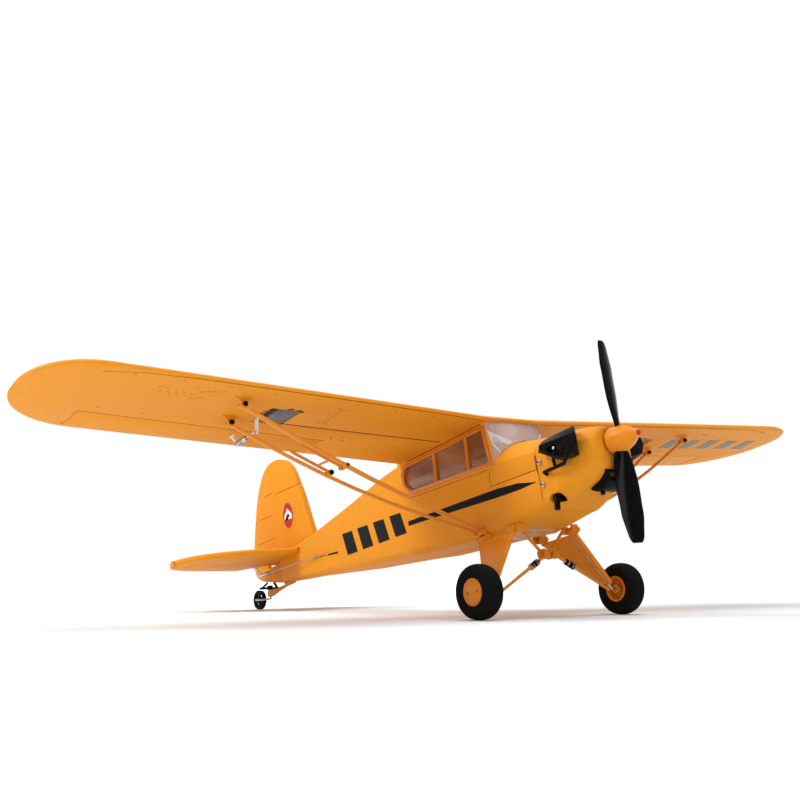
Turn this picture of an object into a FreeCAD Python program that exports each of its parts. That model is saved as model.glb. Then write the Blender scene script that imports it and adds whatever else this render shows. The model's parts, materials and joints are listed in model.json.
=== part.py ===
import FreeCAD, Part
import math
import os

# A strut-braced, high-wing, tail-wheel foam park flyer, parked on its three wheels.
# Everything is modelled in the level aircraft frame and then tipped into the parked stance:
# x to the left wing, y aft, z up, origin at the centre of the propeller on the thrust line.
# Units are millimetres.

V = FreeCAD.Vector
os.makedirs("parts", exist_ok=True)

# ---- driving dimensions ----
park_angle = 11.0            # nose-up angle when parked, degrees
balance_y = -196.6           # row-frame y of the propeller centre, which centres the box
wheel_radius = 16.6
tyre_width = 14.0
wheel_x, wheel_y, wheel_z = 61.6, 74.2, -76.1
tail_wheel_radius = 7.8
tail_wheel_y = 413.1

nose_back = 1.0              # wing nose behind the wing frame's origin
trail_back = 94.3            # trailing edge behind the same origin
chord = trail_back - nose_back
thickness = 9.4              # wing section, at 30 % chord
dihedral = 2.75              # degrees, each panel
incidence = 2.48
wing_root_x = 22.4
wing_le_y, wing_le_z = 84.0, 35.3   # front end of the flat wing underside, on the centre line
straight_end = 265.0         # where the tip curve starts on the trailing edge
tip_span = 319.7
hinge_chord = 70.4
aileron_inner, aileron_outer = 106.0, 271.5

prop_radius = 62.6
cowl_seam_y = 47.4
half_cabin = 24.4
wall = 3.6
tail_post_y = 371.0

elevator_hinge_y = 388.0
stab_thickness = 4.4
stab_z = 6.4                 # middle of the tailplane
rudder_thickness = 4.6
panel_gap = 0.35             # clearance between panels that come apart
swing_gap = 0.5              # clearance round a control surface
pin_radius, pin_fit = 0.9, 0.06


# ---- small helpers ----
def rod(start, end, radius):
    start, end = V(*start), V(*end)
    return Part.makeCylinder(radius, (end - start).Length, start, end - start)


def tube(start, end, outer, inner):
    run = V(*end) - V(*start)
    over = run.normalize() * 0.5
    return rod(start, end, outer).cut(rod(tuple(V(*start) - over), tuple(V(*end) + over), inner))


def bent_rod(points, radius):
    pieces = [rod(a, b, radius) for a, b in zip(points, points[1:])]
    pieces += [Part.makeSphere(radius, V(*p)) for p in points[1:-1]]
    return fused(pieces)


def block(x, y, z):
    return Part.makeBox(x[1] - x[0], y[1] - y[0], z[1] - z[0], V(x[0], y[0], z[0]))


def polygon_face(points):
    corners = [V(*p) for p in points]
    return Part.Face(Part.makePolygon(corners + corners[:1]))


def side_prism(outline, x):
    """A (y, z) outline pushed from x[0] to x[1]."""
    return polygon_face([(x[0], y, z) for y, z in outline]).extrude(V(x[1] - x[0], 0, 0))


def plan_prism(outline, z):
    """An (x, y) outline pushed from z[0] to z[1]."""
    return polygon_face([(x, y, z[0]) for x, y in outline]).extrude(V(0, 0, z[1] - z[0]))


def fused(shapes):
    return shapes[0].multiFuse(shapes[1:]).removeSplitter() if len(shapes) > 1 else shapes[0]


def mirrored(shape):
    return shape.mirror(V(0, 0, 0), V(1, 0, 0))


def both(shape):
    return [shape, mirrored(shape)]


def group(shapes):
    solids = [solid for shape in shapes for solid in shape.Solids]
    return Part.makeCompound(solids) if len(solids) > 1 else solids[0]


turn = math.radians(park_angle)
park_height = wheel_radius + wheel_y * math.sin(turn) - wheel_z * math.cos(turn)
tail_wheel_z = (tail_wheel_radius - park_height + tail_wheel_y * math.sin(turn)) / math.cos(turn)
stance = FreeCAD.Placement(V(0, balance_y, park_height), FreeCAD.Rotation(V(1, 0, 0), -park_angle))


def save(node, shape):
    placed = shape.copy()
    placed.Placement = stance.multiply(placed.Placement)
    placed.exportStep("parts/" + node + ".step")


# ---- wing frame: x outwards along the left panel, y aft along the chord, z off the underside ----
wing_frame = FreeCAD.Placement(V(0, wing_le_y, wing_le_z), FreeCAD.Rotation(V(0, 1, 0), -dihedral))
wing_frame = wing_frame.multiply(FreeCAD.Placement(V(0, 0, 0), FreeCAD.Rotation(V(1, 0, 0), -incidence)))
level_wing = FreeCAD.Placement(V(0, wing_le_y, wing_le_z + wing_root_x * math.tan(math.radians(dihedral))),
                               FreeCAD.Rotation(V(1, 0, 0), -incidence))


def on_wing(shape, frame=wing_frame):
    placed = shape.copy()
    placed.Placement = frame.multiply(placed.Placement)
    return placed


def wing_point(x, y, z):
    return tuple(wing_frame.multVec(V(x, y, z)))


# upper and lower surface heights, as fractions of the thickness, from the nose to the tail
upper_line = [(0.0, 0.17), (0.010, 0.28), (0.03, 0.40), (0.07, 0.57), (0.15, 0.80), (0.30, 1.0),
              (0.48, 0.95),
              (0.66, 0.74), (0.84, 0.42), (1.0, 0.12)]
lower_line = [(0.0, 0.17), (0.012, 0.05), (0.04, 0.01), (0.10, 0.0), (0.5, 0.0), (1.0, 0.0)]


def wing_section(x, nose, tail):
    reach, depth = tail - nose, thickness * (tail - nose) / chord
    top, low = Part.BSplineCurve(), Part.BSplineCurve()
    top.interpolate([V(x, nose + reach * u, depth * t) for u, t in reversed(upper_line)])
    low.interpolate([V(x, nose + reach * u, depth * t) for u, t in lower_line])
    back = Part.makeLine(V(x, tail, 0), V(x, tail, depth * upper_line[-1][1]))
    return Part.Wire([top.toShape(), low.toShape(), back])


def tip_edges(x):
    """Leading and trailing edge of the rounded tip, as chordwise distances."""
    widest = 42.0
    lead = nose_back
    if x > 280.0:
        lead += (widest - nose_back) * (1 - (1 - ((x - 280.0) / (tip_span - 280.0)) ** 2.3) ** (1 / 2.3))
    share = (x - straight_end) / (tip_span - straight_end)
    return lead, widest + (trail_back - widest) * math.sqrt(1 - share ** 2)


# ---- wing panels and ailerons ----
def wing_blank():
    straight = Part.makeLoft([wing_section(x, nose_back, trail_back) for x in (wing_root_x, straight_end)],
                             True, True)
    stations = (straight_end, 280.0, 293.0, 303.0, 311.0, 316.5, 319.2)
    tip = Part.makeLoft([wing_section(x, *tip_edges(x)) for x in stations], True, False)
    return straight.fuse(tip)


hinge_half = 0.28 * thickness            # half the section's depth at the hinge line
hinge_z = hinge_half
servo_bay = ((147.5, 168.5), (28.0, 52.6), (-1.0, 7.8))
lead_run = [(149.0, 49.9), (124.0, 49.6), (98.0, 48.8), (26.0, 47.0)]
spar_y, spar_z, spar_radius, spar_end = 33.0, 4.6, 1.5, 144.0
horn_offset = (1.6, -10.25)              # from the hinge line to the horn's hole, along y and z
aileron_horn_x = 167.0

blank = wing_blank()
behind_hinge = block((aileron_inner, aileron_outer), (hinge_chord, trail_back + 20), (-20, 20))
hinge_roll = rod((aileron_inner, hinge_chord, hinge_z), (aileron_outer, hinge_chord, hinge_z), hinge_half)
hinge_room = rod((aileron_inner - swing_gap, hinge_chord, hinge_z),
                 (aileron_outer + swing_gap, hinge_chord, hinge_z), hinge_half + swing_gap)
aft_room = block((aileron_inner - swing_gap, aileron_outer + swing_gap), (hinge_chord, trail_back + 20),
                 (-20, 20))
aileron = blank.common(behind_hinge).fuse(hinge_roll.common(blank)).removeSplitter()

lead_radius = 0.45
panel = blank.cut(aft_room).cut(hinge_room).cut(block(*servo_bay))
panel = panel.cut(fused([rod((a[0], a[1], 0.4), (b[0], b[1], 0.4), 0.9)
                         for a, b in zip(lead_run, lead_run[1:])]))
panel = panel.cut(rod((wing_root_x - 1, spar_y, spar_z), (spar_end + 0.2, spar_y, spar_z), spar_radius))
panel = on_wing(panel.removeSplitter())
save("wing_left", panel)
save("wing_right", mirrored(panel))
aileron = on_wing(aileron)
save("aileron_left", aileron)
save("aileron_right", mirrored(aileron))

spar_half = on_wing(rod((wing_root_x, spar_y, spar_z), (spar_end, spar_y, spar_z), spar_radius))
spar_root = wing_point(wing_root_x, spar_y, spar_z)
spar_bridge = rod(spar_root, (0, spar_root[1], spar_root[2]), spar_radius)
spar = fused(both(spar_half.fuse(spar_bridge)))
save("wing_spar", spar)

servo_lead = on_wing(bent_rod([(x, y, 0.5) for x, y in lead_run], lead_radius))
save("servo_leads", group(both(servo_lead)))


# ---- control linkages ----
def horn_plate(foot, hole, breadth, x):
    """A boomerang-shaped horn in the (y, z) plane: foot on the surface, tip round the hole."""
    (foot_y, foot_z), (hole_y, hole_z) = foot, hole
    half = 0.6
    outline = [(foot_y - 3.2, foot_z), (foot_y + 3.2, foot_z), (foot_y + 0.4, foot_z - 1.6),
               (hole_y + breadth, hole_z + 0.4), (hole_y, hole_z - breadth),
               (hole_y - breadth, hole_z), (foot_y - 2.4, foot_z - 2.2)]
    return side_prism(outline, (x - half, x + half))


rod_radius = 0.5
clevis_half = 1.5


def rod_start(arm_hole, pin_axis):
    """Where a pushrod's wire begins: beside the servo arm, at the end of its bent pin."""
    return tuple(V(*arm_hole) + V(*pin_axis) * 1.4)


def pushrod(arm_hole, end, pin_axis, clevis_length=8.0):
    """A wire with a bent pin in the servo arm and a pinned clevis on its aft end."""
    across = V(*pin_axis)
    start = V(*rod_start(arm_hole, pin_axis))
    along = (V(*end) - start).normalize()
    neck = V(*end) - along * clevis_length
    wire = rod(tuple(start), tuple(neck), rod_radius)
    start_pin = rod(tuple(V(*arm_hole) - across * 1.2), tuple(start), rod_radius)
    corner = Part.makeSphere(rod_radius, start)
    side = along.cross(across)
    ears = []
    for sign in (-1, 1):
        low = across * (sign * 1.15) - across * 0.4
        corners = [neck - side * 1.2 + low, neck + side * 1.2 + low,
                   V(*end) + along * 1.6 + side * 1.2 + low, V(*end) + along * 1.6 - side * 1.2 + low]
        ears.append(polygon_face([tuple(c) for c in corners]).extrude(across * 0.8))
    barrel = rod(tuple(neck - along * 3.0), tuple(neck + along * 1.2), clevis_half)
    end_pin = rod(tuple(V(*end) - across * 1.3), tuple(V(*end) + across * 1.3), rod_radius)
    return fused([wire, start_pin, corner, barrel, end_pin] + ears)


def servo_arm(pivot, hole, axis, half=0.6):
    """A tapered arm from the servo's shaft to its hole, flat across the given axis."""
    pivot, hole, axis = V(*pivot), V(*hole), V(*axis)
    along = (hole - pivot).normalize()
    side = along.cross(axis)
    corners = [pivot + side * 1.9, pivot - side * 1.9, hole - side * 1.1, hole + side * 1.1]
    web = polygon_face([tuple(c - axis * half) for c in corners]).extrude(axis * (2 * half))
    hub = rod(tuple(pivot - axis * half), tuple(pivot + axis * half), 2.1)
    eye = rod(tuple(hole - axis * half), tuple(hole + axis * half), 1.4)
    bore = rod(tuple(hole - axis), tuple(hole + axis), rod_radius + pin_fit)
    seat = rod(tuple(pivot - axis * 2), tuple(pivot + axis * 2), pin_radius + pin_fit)
    return fused([web, hub, eye]).cut(bore).cut(seat)


span_axis = (1, 0, 0)
aileron_hole = (hinge_chord + horn_offset[0], hinge_z + horn_offset[1])
servo_pivot = (48.0, 2.85)
arm_hole = (servo_pivot[0] + horn_offset[0], servo_pivot[1] + horn_offset[1])
horn_bore = rod((aileron_horn_x - 3, aileron_hole[0], aileron_hole[1]),
                (aileron_horn_x + 3, aileron_hole[0], aileron_hole[1]), rod_radius + pin_fit)
aileron_horn = horn_plate((hinge_chord + 8.0, 0.0), aileron_hole, 1.5, aileron_horn_x).cut(horn_bore)
servo_end, arm_x = 163.0, 167.0
aileron_servo = fused([block((148.0, servo_end), (28.6, 48.9), (0.2, 7.4)),
                       rod((servo_end, *servo_pivot), (servo_end + 1.6, *servo_pivot), 1.4),
                       rod((servo_end, *servo_pivot), (arm_x + 1.0, *servo_pivot), pin_radius)])
arm_shape = servo_arm((arm_x, *servo_pivot), (arm_x, *arm_hole), span_axis)
rod_shape = pushrod((arm_x, *arm_hole), (aileron_horn_x, *aileron_hole), span_axis)
for side, turned in (("left", on_wing), ("right", lambda shape: mirrored(on_wing(shape)))):
    save("aileron_horn_" + side, turned(aileron_horn))
    save("aileron_arm_" + side, turned(arm_shape))
    save("aileron_rod_" + side, turned(rod_shape))


# ---- fuselage sections ----
def hull_section(y, half, low, side, high, corner, inset=0.0):
    """Flat floor, round lower corners, upright sides and an arched top; inset shrinks it all round."""
    half, low, side, high = half - inset, low + inset, side - inset * 0.4, high - inset
    corner = max(corner - inset, 1.0)
    bend = corner * (1 - math.sqrt(0.5))
    floor = [V(-half + corner, y, low), V(half - corner, y, low)]
    left = [V(half, y, low + corner), V(half, y, side)]
    right = [V(-half, y, side), V(-half, y, low + corner)]
    edges = [Part.makeLine(*floor),
             Part.Arc(floor[1], V(half - bend, y, low + bend), left[0]).toShape(),
             Part.makeLine(*left),
             Part.Arc(left[1], V(0, y, high), right[0]).toShape(),
             Part.makeLine(*right),
             Part.Arc(right[1], V(-half + bend, y, low + bend), floor[0]).toShape()]
    return Part.Wire(edges)


def hull_loft(stations, inset=0.0, ruled=True):
    return Part.makeLoft([hull_section(*station, inset) for station in stations], True, ruled)


#              y     half  low    side  high  corner
deck_front = (cowl_seam_y, 23.8, -32.6, 4.5, 15.8, 7.5)
deck_rear = (84.0, half_cabin, -37.8, 7.0, 21.8, 6.5)
cabin_rear_y = 181.0
cabin_low_rear = -31.8
tail_stations = [
    (cabin_rear_y, half_cabin, cabin_low_rear, 31.0, 34.0, 6.0),
    (203.0, 22.1, -29.4, 28.8, 32.0, 5.8),
    (257.0, 16.4, -24.8, 20.4, 24.2, 5.0),
    (322.0, 9.4, -17.2, 11.8, 15.6, 3.6),
    (tail_post_y, 4.0, -13.2, 6.2, 9.6, 2.2),
]
nose_stations = [
    (5.6, 13.0, -15.0, 1.0, 8.2, 9.0),
    (7.2, 16.5, -18.4, 1.5, 10.2, 11.0),
    (12.0, 19.6, -21.8, 2.2, 12.0, 11.5),
    (22.0, 22.2, -25.4, 3.2, 13.8, 11.0),
    (34.0, 23.4, -29.6, 4.0, 15.0, 9.5),
    deck_front,
]


def underside(y):
    """Height of the wing's underside over the cabin."""
    return level_wing.multVec(V(0, y - wing_le_y, 0)).z


def cabin_block(inset=0.0):
    """Cabin between the windshield line and the wing's trailing edge, up to the wing saddle."""
    half = half_cabin - inset
    top_front, top_rear = underside(84.0) + 1.0, underside(cabin_rear_y) + 1.0
    outline = [(deck_rear[0], deck_rear[2] + inset), (cabin_rear_y, cabin_low_rear + inset),
               (cabin_rear_y, top_rear - inset), (88.5, top_front - inset), (deck_rear[0], 6.0)]
    body = side_prism(outline, (-half, half))
    rounding = hull_loft([(80.0, *deck_rear[1:3], 60, 70, deck_rear[5]),
                          (cabin_rear_y + 2, *tail_stations[0][1:3], 60, 70, tail_stations[0][5])], inset)
    return body.common(rounding)


# centre section of the wing over the cabin, part of the fuselage mouldings
saddle_blank = Part.makeLoft([wing_section(x, nose_back, trail_back + 1.5)
                              for x in (-wing_root_x, wing_root_x)], True, True)
saddle_blank = on_wing(saddle_blank, level_wing)

hull_outer = fused([hull_loft([deck_front, deck_rear]), cabin_block(), hull_loft(tail_stations)])
hollow_deck = hull_loft([(cowl_seam_y - 1, *deck_front[1:]), deck_rear], wall)
hollow_tail = hull_loft([(cabin_rear_y - 3, *tail_stations[0][1:])] + tail_stations[1:4], wall)
hollow = fused([hollow_deck, cabin_block(wall), hollow_tail])
hull = hull_outer.fuse(saddle_blank).cut(hollow).cut(fused(both(on_wing(blank))))

# the side window: outline of the frame, and the openings in it
window_outline = [(85.6, 6.6), (166.0, 8.4), (170.6, 9.5), (174.2, 12.0), (176.6, 15.6), (177.6, 19.8),
                  (177.2, 23.8), (175.4, 27.4), (172.5, 30.2), (97.0, 33.6), (88.6, 33.6)]
frame_rail = 2.6
window_posts = [(107.2, 108.2), (140.3, 141.7)]      # y at the top and at the foot of each post


def shrunk(outline, by):
    """The outline moved in by a distance, for a convex outline."""
    face = polygon_face([(0, y, z) for y, z in outline])
    inner = face.makeOffset2D(-by, 2)
    ring = Part.Wire(Part.__sortEdges__(inner.Edges))
    return [(v.Point.y, v.Point.z) for v in ring.OrderedVertexes]


pane_outline = shrunk(window_outline, 1.4)
light_outline = shrunk(window_outline, frame_rail)
frame_out, frame_in, pane_in = half_cabin + 0.8, half_cabin - 0.8, half_cabin - 1.5
frame_x, pane_x = (frame_in, frame_out), (pane_in, frame_in)

window_cut = side_prism(window_outline, (frame_in, frame_out + 5))
window_cut = window_cut.fuse(side_prism(pane_outline, (pane_in, frame_out)))
window_cut = window_cut.fuse(side_prism(light_outline, (0, frame_out)))
hull = hull.cut(fused(both(window_cut)))

frame = side_prism(window_outline, frame_x).cut(side_prism(light_outline, (0, 60)))
posts = []
for top_y, foot_y in window_posts:
    bar = side_prism([(foot_y - 1.2, 5.0), (foot_y + 1.2, 5.0), (top_y + 1.2, 34.5), (top_y - 1.2, 34.5)],
                     frame_x)
    posts.append(bar.common(side_prism(window_outline, frame_x)))
frame = fused([frame] + posts)
save("window_frames", group(both(frame)))
pane = side_prism(pane_outline, pane_x)
save("window_panes", group(both(pane)))

# ---- canopy deck: the moulding ahead of the cabin that carries the windshield ----
deck_low, deck_back = -6.2, 91.0
seam = 0.2
deck_outline = [(cowl_seam_y - 2, deck_low), (deck_back + 2.6, deck_low), (deck_back - 1.6, 2.0),
                (85.6, 5.8),
                (84.2, 6.4), (84.2, 60.0), (cowl_seam_y - 2, 60.0)]
room_outline = [(cowl_seam_y - 2, deck_low - seam), (deck_back + 2.8, deck_low - seam),
                (deck_back - 1.4, 2.0 + seam), (85.7, 5.8 + seam), (84.2 + seam, 6.5),
                (84.2 + seam, 60.0), (cowl_seam_y - 2, 60.0)]
deck_shell = hull_loft([deck_front, deck_rear]).fuse(block((-half_cabin, half_cabin), (84, 94.2), (-7, 6)))
deck_hollow = hull_loft([(cowl_seam_y - 1, *deck_front[1:]), (84.5, *deck_rear[1:])], wall)
deck_hollow = deck_hollow.fuse(block((-half_cabin + wall, half_cabin - wall), (80, 96), (-7, 8)))
deck = deck_shell.common(side_prism(deck_outline, (-40, 40))).cut(deck_hollow)
deck = deck.cut(block((-40, 40), (40, cowl_seam_y + seam), (-60, 60)))
hull = hull.cut(side_prism(room_outline, (-40, 40)))

# bulkhead behind the cowl, and the lugs inside the cowl that its screws bite into
bulkhead = block((-21, 21), (cowl_seam_y, cowl_seam_y + 3.0), (-31.0, -7.0)).common(hull_outer)
cowl_lug = block((17.2, 20.2), (42.6, cowl_seam_y + 3.0), (-19.5, -7.0))
cowl_lug = cowl_lug.fuse(block((17.2, 20.2), (42.6, cowl_seam_y - 0.4), (-7.1, -0.8)))
hull = fused([hull, bulkhead] + both(cowl_lug))

# the battery hatch in the belly
bay_half, bay_front, bay_rear = 15.5, 76.5, 111.0
bay_cut = block((-bay_half, bay_half), (bay_front, bay_rear), (-45, -28))
hull = hull.cut(bay_cut)

# slot for the front latch, tail guides and the tailplane seat
hull = hull.cut(block((-12.5, 10.5), (72.0, 73.4), (-45, -20)))
stab_seat = block((-40, 40), (336.0, 392.0), (stab_z - stab_thickness / 2, stab_z + stab_thickness / 2))
hull = hull.cut(stab_seat)
hull = hull.cut(spar)

# rails that carry the flight battery, one ahead of the bay and one behind it
rails = [block((-22, 22), (y, y + 10.0), (-28.0, -24.2)) for y in (64.0, 112.0)]
hull = hull.fuse(fused(rails).common(hull_outer)).removeSplitter()

# ---- tail pushrods: guide tubes, servos, arms ----
elevator_hinge = (elevator_hinge_y, stab_z)
rudder_foot, rudder_head = V(0, 380.6, -13.5), V(0, 371.5, 62.0)
rudder_axis = (rudder_head - rudder_foot).normalize()
elevator_horn_x = -13.0
elevator_offset = (-1.5, -10.4)
elevator_hole = (elevator_hinge[0] + elevator_offset[0], elevator_hinge[1] + elevator_offset[1])
elevator_arm_hole = (-11.3, 208.0, -6.4)
elevator_pivot = (elevator_arm_hole[0], elevator_arm_hole[1] - elevator_offset[0],
                  elevator_arm_hole[2] - elevator_offset[1])
rudder_hole_z = -6.0
rudder_pivot_y = rudder_foot.y + (rudder_hole_z - rudder_foot.z) * rudder_axis.y / rudder_axis.z
rudder_offset = (10.6, -2.0)
rudder_hole = (rudder_offset[0], rudder_pivot_y + rudder_offset[1], rudder_hole_z)
rudder_arm_hole = (12.5, 228.0, -5.0)
rudder_arm_pivot = (rudder_arm_hole[0] - rudder_offset[0], rudder_arm_hole[1] - rudder_offset[1],
                    rudder_arm_hole[2])


def along_line(start, end, y):
    share = (y - start[1]) / (end[1] - start[1])
    return tuple(a + (b - a) * share for a, b in zip(start, end))


elevator_end = (elevator_horn_x, *elevator_hole)
guide_span = (266.0, 305.5)
guide_wall = 0.4
guides, guide_room = [], []
# each tube sits in the middle of its rod's sideways travel, which its bore clears
for start, end, shift, bore in (
        (rod_start(elevator_arm_hole, span_axis), elevator_end, V(0, 0, 0.52), 1.25),
        (rod_start(rudder_arm_hole, tuple(rudder_axis)), rudder_hole, V(-0.67, 0, 0), 1.6)):
    front, back, room_front, room_back = (tuple(V(*along_line(start, end, y)) + shift)
                                          for y in (*guide_span, 236.0, 330.0))
    guides.append(tube(front, back, bore + guide_wall, bore))
    guide_room.append(rod(room_front, room_back, bore + guide_wall))
hull = hull.cut(fused(guide_room))
save("pushrod_guides", group(guides))


# ---- battery hatch, hinged along its front edge ----
belly = hull_loft([deck_front, deck_rear]).fuse(cabin_block())
hatch_skin = 1.8
hatch_box = block((-bay_half + panel_gap, bay_half - panel_gap),
                  (bay_front + panel_gap, bay_rear - panel_gap), (-45, -30))
belly_floor = side_prism([(70, -38.2 + 1.3), (84, -37.8), (cabin_rear_y, cabin_low_rear),
                          (cabin_rear_y, cabin_low_rear + hatch_skin), (84, -37.8 + hatch_skin),
                          (70, -38.2 + 1.3 + hatch_skin)], (-bay_half, bay_half))
battery_hatch = belly.common(hatch_box).common(belly_floor)
slots = []
for line in range(6):
    slot_y = 80.6 + line * 4.6
    shift = 3.4 if line % 2 else -0.6
    for slot_x in (-11.6 + shift, 1.2 + shift):
        slots.append(block((slot_x, slot_x + 9.0), (slot_y, slot_y + 1.7), (-45, -28)))
battery_hatch = battery_hatch.cut(fused(slots))
hatch_pin_y, hatch_pin_z = bay_front + 1.7, -35.0
hatch_lugs = [block((x - 1.5, x + 1.5), (bay_front + 0.6, bay_front + 2.8), (-36.4, -33.9))
              for x in (-9, 9)]
hatch_pin = rod((-17.2, hatch_pin_y, hatch_pin_z), (17.2, hatch_pin_y, hatch_pin_z), 0.6)
hull = hull.cut(rod((-17.6, hatch_pin_y, hatch_pin_z), (17.6, hatch_pin_y, hatch_pin_z), 0.6 + pin_fit))
hatch_swing = rod((-bay_half, hatch_pin_y, hatch_pin_z), (bay_half, hatch_pin_y, hatch_pin_z), 3.3)
hull = hull.cut(hatch_swing)
battery_hatch = fused([battery_hatch, hatch_pin] + hatch_lugs)
save("battery_hatch", group([battery_hatch]))

# ---- nose cowl ----
cowl_wall = 2.4
cowl = Part.makeLoft([hull_section(*s) for s in nose_stations], True, False)
cowl_hollow = Part.makeLoft([hull_section(*s, cowl_wall) for s in nose_stations[1:-1]]
                            + [hull_section(cowl_seam_y + 0.01, *deck_front[1:], cowl_wall)], True, False)
cowl = cowl.cut(cowl_hollow).cut(rod((0, 0, 0), (0, 20, 0), 7.0))
cowl = cowl.cut(block((-60, 60), (cowl_seam_y - 0.25, 60), (-60, 60)))

# the recess behind the dummy exhaust stub on the right, rounded at both ends
stub_hole = [rod((-30, y, -26.8), (-14, y, -26.8), 2.7) for y in (35.2, 39.0)]
stub_hole.append(block((-30, -14), (35.2, 39.0), (-29.5, -24.1)))
cowl = cowl.cut(fused(stub_hole))

# ---- dummy engines: a hood with a slanted top, a round boss, exhaust pipes and stubs ----
hood_outline = [(12.6, 10.6), (31.5, 9.0), (37.2, 7.7), (39.6, 1.6), (33.9, -1.4), (23.9, -7.1), (17.4, -7.0),
                (8.5, -4.8), (6.7, -0.1), (7.2, 4.6)]
hood_root, hood_face = 17.0, 29.0
hood = side_prism(hood_outline, (hood_root, hood_face))
slant = polygon_face([(hood_face + 1, 0, 4.4), (hood_face - 5.0, 0, 11.4), (hood_face + 1, 0, 14.0)])
hood = hood.cut(slant.extrude(V(0, 60, 0)))
front_taper = [(hood_face, 6.7), (hood_root - 1, 18.7), (hood_root - 1, 0), (hood_face, 0)]
hood = hood.cut(plan_prism(front_taper, (-12, 14)))
opening = side_prism([(18.0, 3.6), (33.0, 2.4), (32.0, -0.2), (23.4, -4.8), (18.0, -4.6)],
                     (hood_face - 3.2, 40))
boss_y, boss_z = 21.4, 1.8
dummy_boss = rod((hood_face - 4.0, boss_y, boss_z), (hood_face - 0.4, boss_y, boss_z), 3.3)
dummy_boss = dummy_boss.fuse(rod((hood_face - 4.0, 26.4, 0.8), (hood_face + 0.2, 26.4, 0.8), 1.2))
pipes = [bent_rod([(hood_face - 2.0, 27.8, -1.6), (hood_face - 0.6, 28.6, -6.0), (27.4, 28.9, -10.2)], 1.0),
         bent_rod([(hood_face - 2.0, 17.2, -1.6), (hood_face - 0.6, 18.0, -7.2), (28.0, 20.8, -10.2),
                   (26.8, 31.3, -10.3), (25.2, 41.0, -10.2), (23.0, 40.4, -11.8)], 1.1)]
stub = bent_rod([(-16.0, 37.4, -26.8), (-22.8, 36.4, -27.8), (-24.4, 35.6, -34.4)], 1.8)
engine = fused([hood.cut(opening), dummy_boss, *pipes])
save("dummy_engines", group(both(engine) + [stub]))
engine_seat = fused(both(engine) + [stub])
cowl = cowl.cut(engine_seat)

# ---- air scoop under the spinner ----
scoop_side = [(8.4, -15.6), (5.0, -17.2), (4.6, -24.0), (9.5, -27.6), (15.0, -28.4), (20.0, -26.4),
              (20.0, -22.0)]
scoop = side_prism(scoop_side, (-9.4, 9.4))
mouth = [(8.2, -18.6), (3.0, -19.0), (2.6, -22.8), (9.4, -25.9), (11.6, -24.0)]
scoop = scoop.cut(side_prism(mouth, (-7.6, 7.6)))
drain = rod((-6.0, 14.8, -26.0), (-6.0, 14.4, -30.2), 1.5)
cowl_solid = Part.makeLoft([hull_section(*s) for s in nose_stations], True, False)
scoop = fused([scoop, drain]).cut(cowl_solid)
save("air_scoop", group([max(scoop.Solids, key=lambda s: s.Volume)]))

# ---- motor and propeller ----
shaft_radius = 1.5
firewall_y = cowl_seam_y - 2.0
firewall = block((-14, 14), (firewall_y, cowl_seam_y), (-16, 7.6))
plinth = rod((0, 31.5, 0), (0, firewall_y, 0), 6.5)
mount_foot = [rod((x, 31.0, z), (x, firewall_y, z), 2.0) for x in (-9, 9) for z in (-5.5, 5.5)]
mount_plate = rod((0, 30.4, 0), (0, 31.8, 0), 11.5)
clear_bore = rod((0, 10, 0), (0, 60, 0), shaft_radius + 0.05)
motor_mount = fused([firewall, plinth, mount_plate] + mount_foot).cut(clear_bore)
save("motor_mount", motor_mount)
stator_core = tube((0, 17.6, 0), (0, 29.0, 0), 7.8, 3.0)
pole_gap = [block((-0.5, 0.5), (17, 29.5), (4.6, 12)).rotated(V(0, 0, 0), V(0, 1, 0), 40 * i)
            for i in range(9)]
stator = stator_core.cut(fused(pole_gap)).fuse(tube((0, 16.6, 0), (0, 30.4, 0), 3.0, shaft_radius + 0.05))
save("motor_stator", group([stator]))
bell = tube((0, 15.0, 0), (0, 29.6, 0), 9.0, 8.1).fuse(rod((0, 14.0, 0), (0, 15.4, 0), 9.0))
bell_vent = [rod((5.9, 13, 0), (5.9, 16, 0), 1.4).rotated(V(0, 0, 0), V(0, 1, 0), 60 * i) for i in range(6)]
shaft = rod((0, -7.0, 0), (0, 36.0, 0), shaft_radius)
adapter = rod((0, 4.6, 0), (0, 14.2, 0), 4.0)
bell = fused([bell, shaft, adapter]).cut(fused(bell_vent))
save("motor_bell", bell)

#                 radius, chord, depth, pitch in degrees
blade_stations = [(4.5, 7.4, 3.0, 32), (11, 11.0, 2.8, 26), (21, 14.6, 2.3, 20), (31, 15.8, 2.0, 18),
                  (42, 15.3, 1.7, 17), (51, 13.8, 1.4, 16), (58, 11.2, 1.1, 15), (61.6, 8.4, 1.0, 14),
                  (prop_radius, 6.4, 0.9, 14)]


def blade_section(radius, width, depth, pitch):
    """A lens-shaped section across the blade, set at its pitch angle."""
    half = width / 2
    upper = Part.Arc(V(-half, 0, 0), V(0, -depth * 0.75, 0), V(half, 0, 0)).toShape()
    lower = Part.Arc(V(half, 0, 0), V(0, depth * 0.25, 0), V(-half, 0, 0)).toShape()
    wire = Part.Wire([upper, lower])
    wire.rotate(V(0, 0, 0), V(0, 0, 1), pitch)
    wire.translate(V(0, 0, radius))
    return wire


blade = Part.makeLoft([blade_section(*station) for station in blade_stations], True, False)
hub = rod((0, -4.0, 0), (0, 3.6, 0), 5.2)
propeller = fused([hub, blade, blade.rotated(V(0, 0, 0), V(0, 1, 0), 180)])
propeller = propeller.cut(rod((0, -10, 0), (0, 10, 0), shaft_radius))
save("propeller", group([propeller]))

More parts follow.
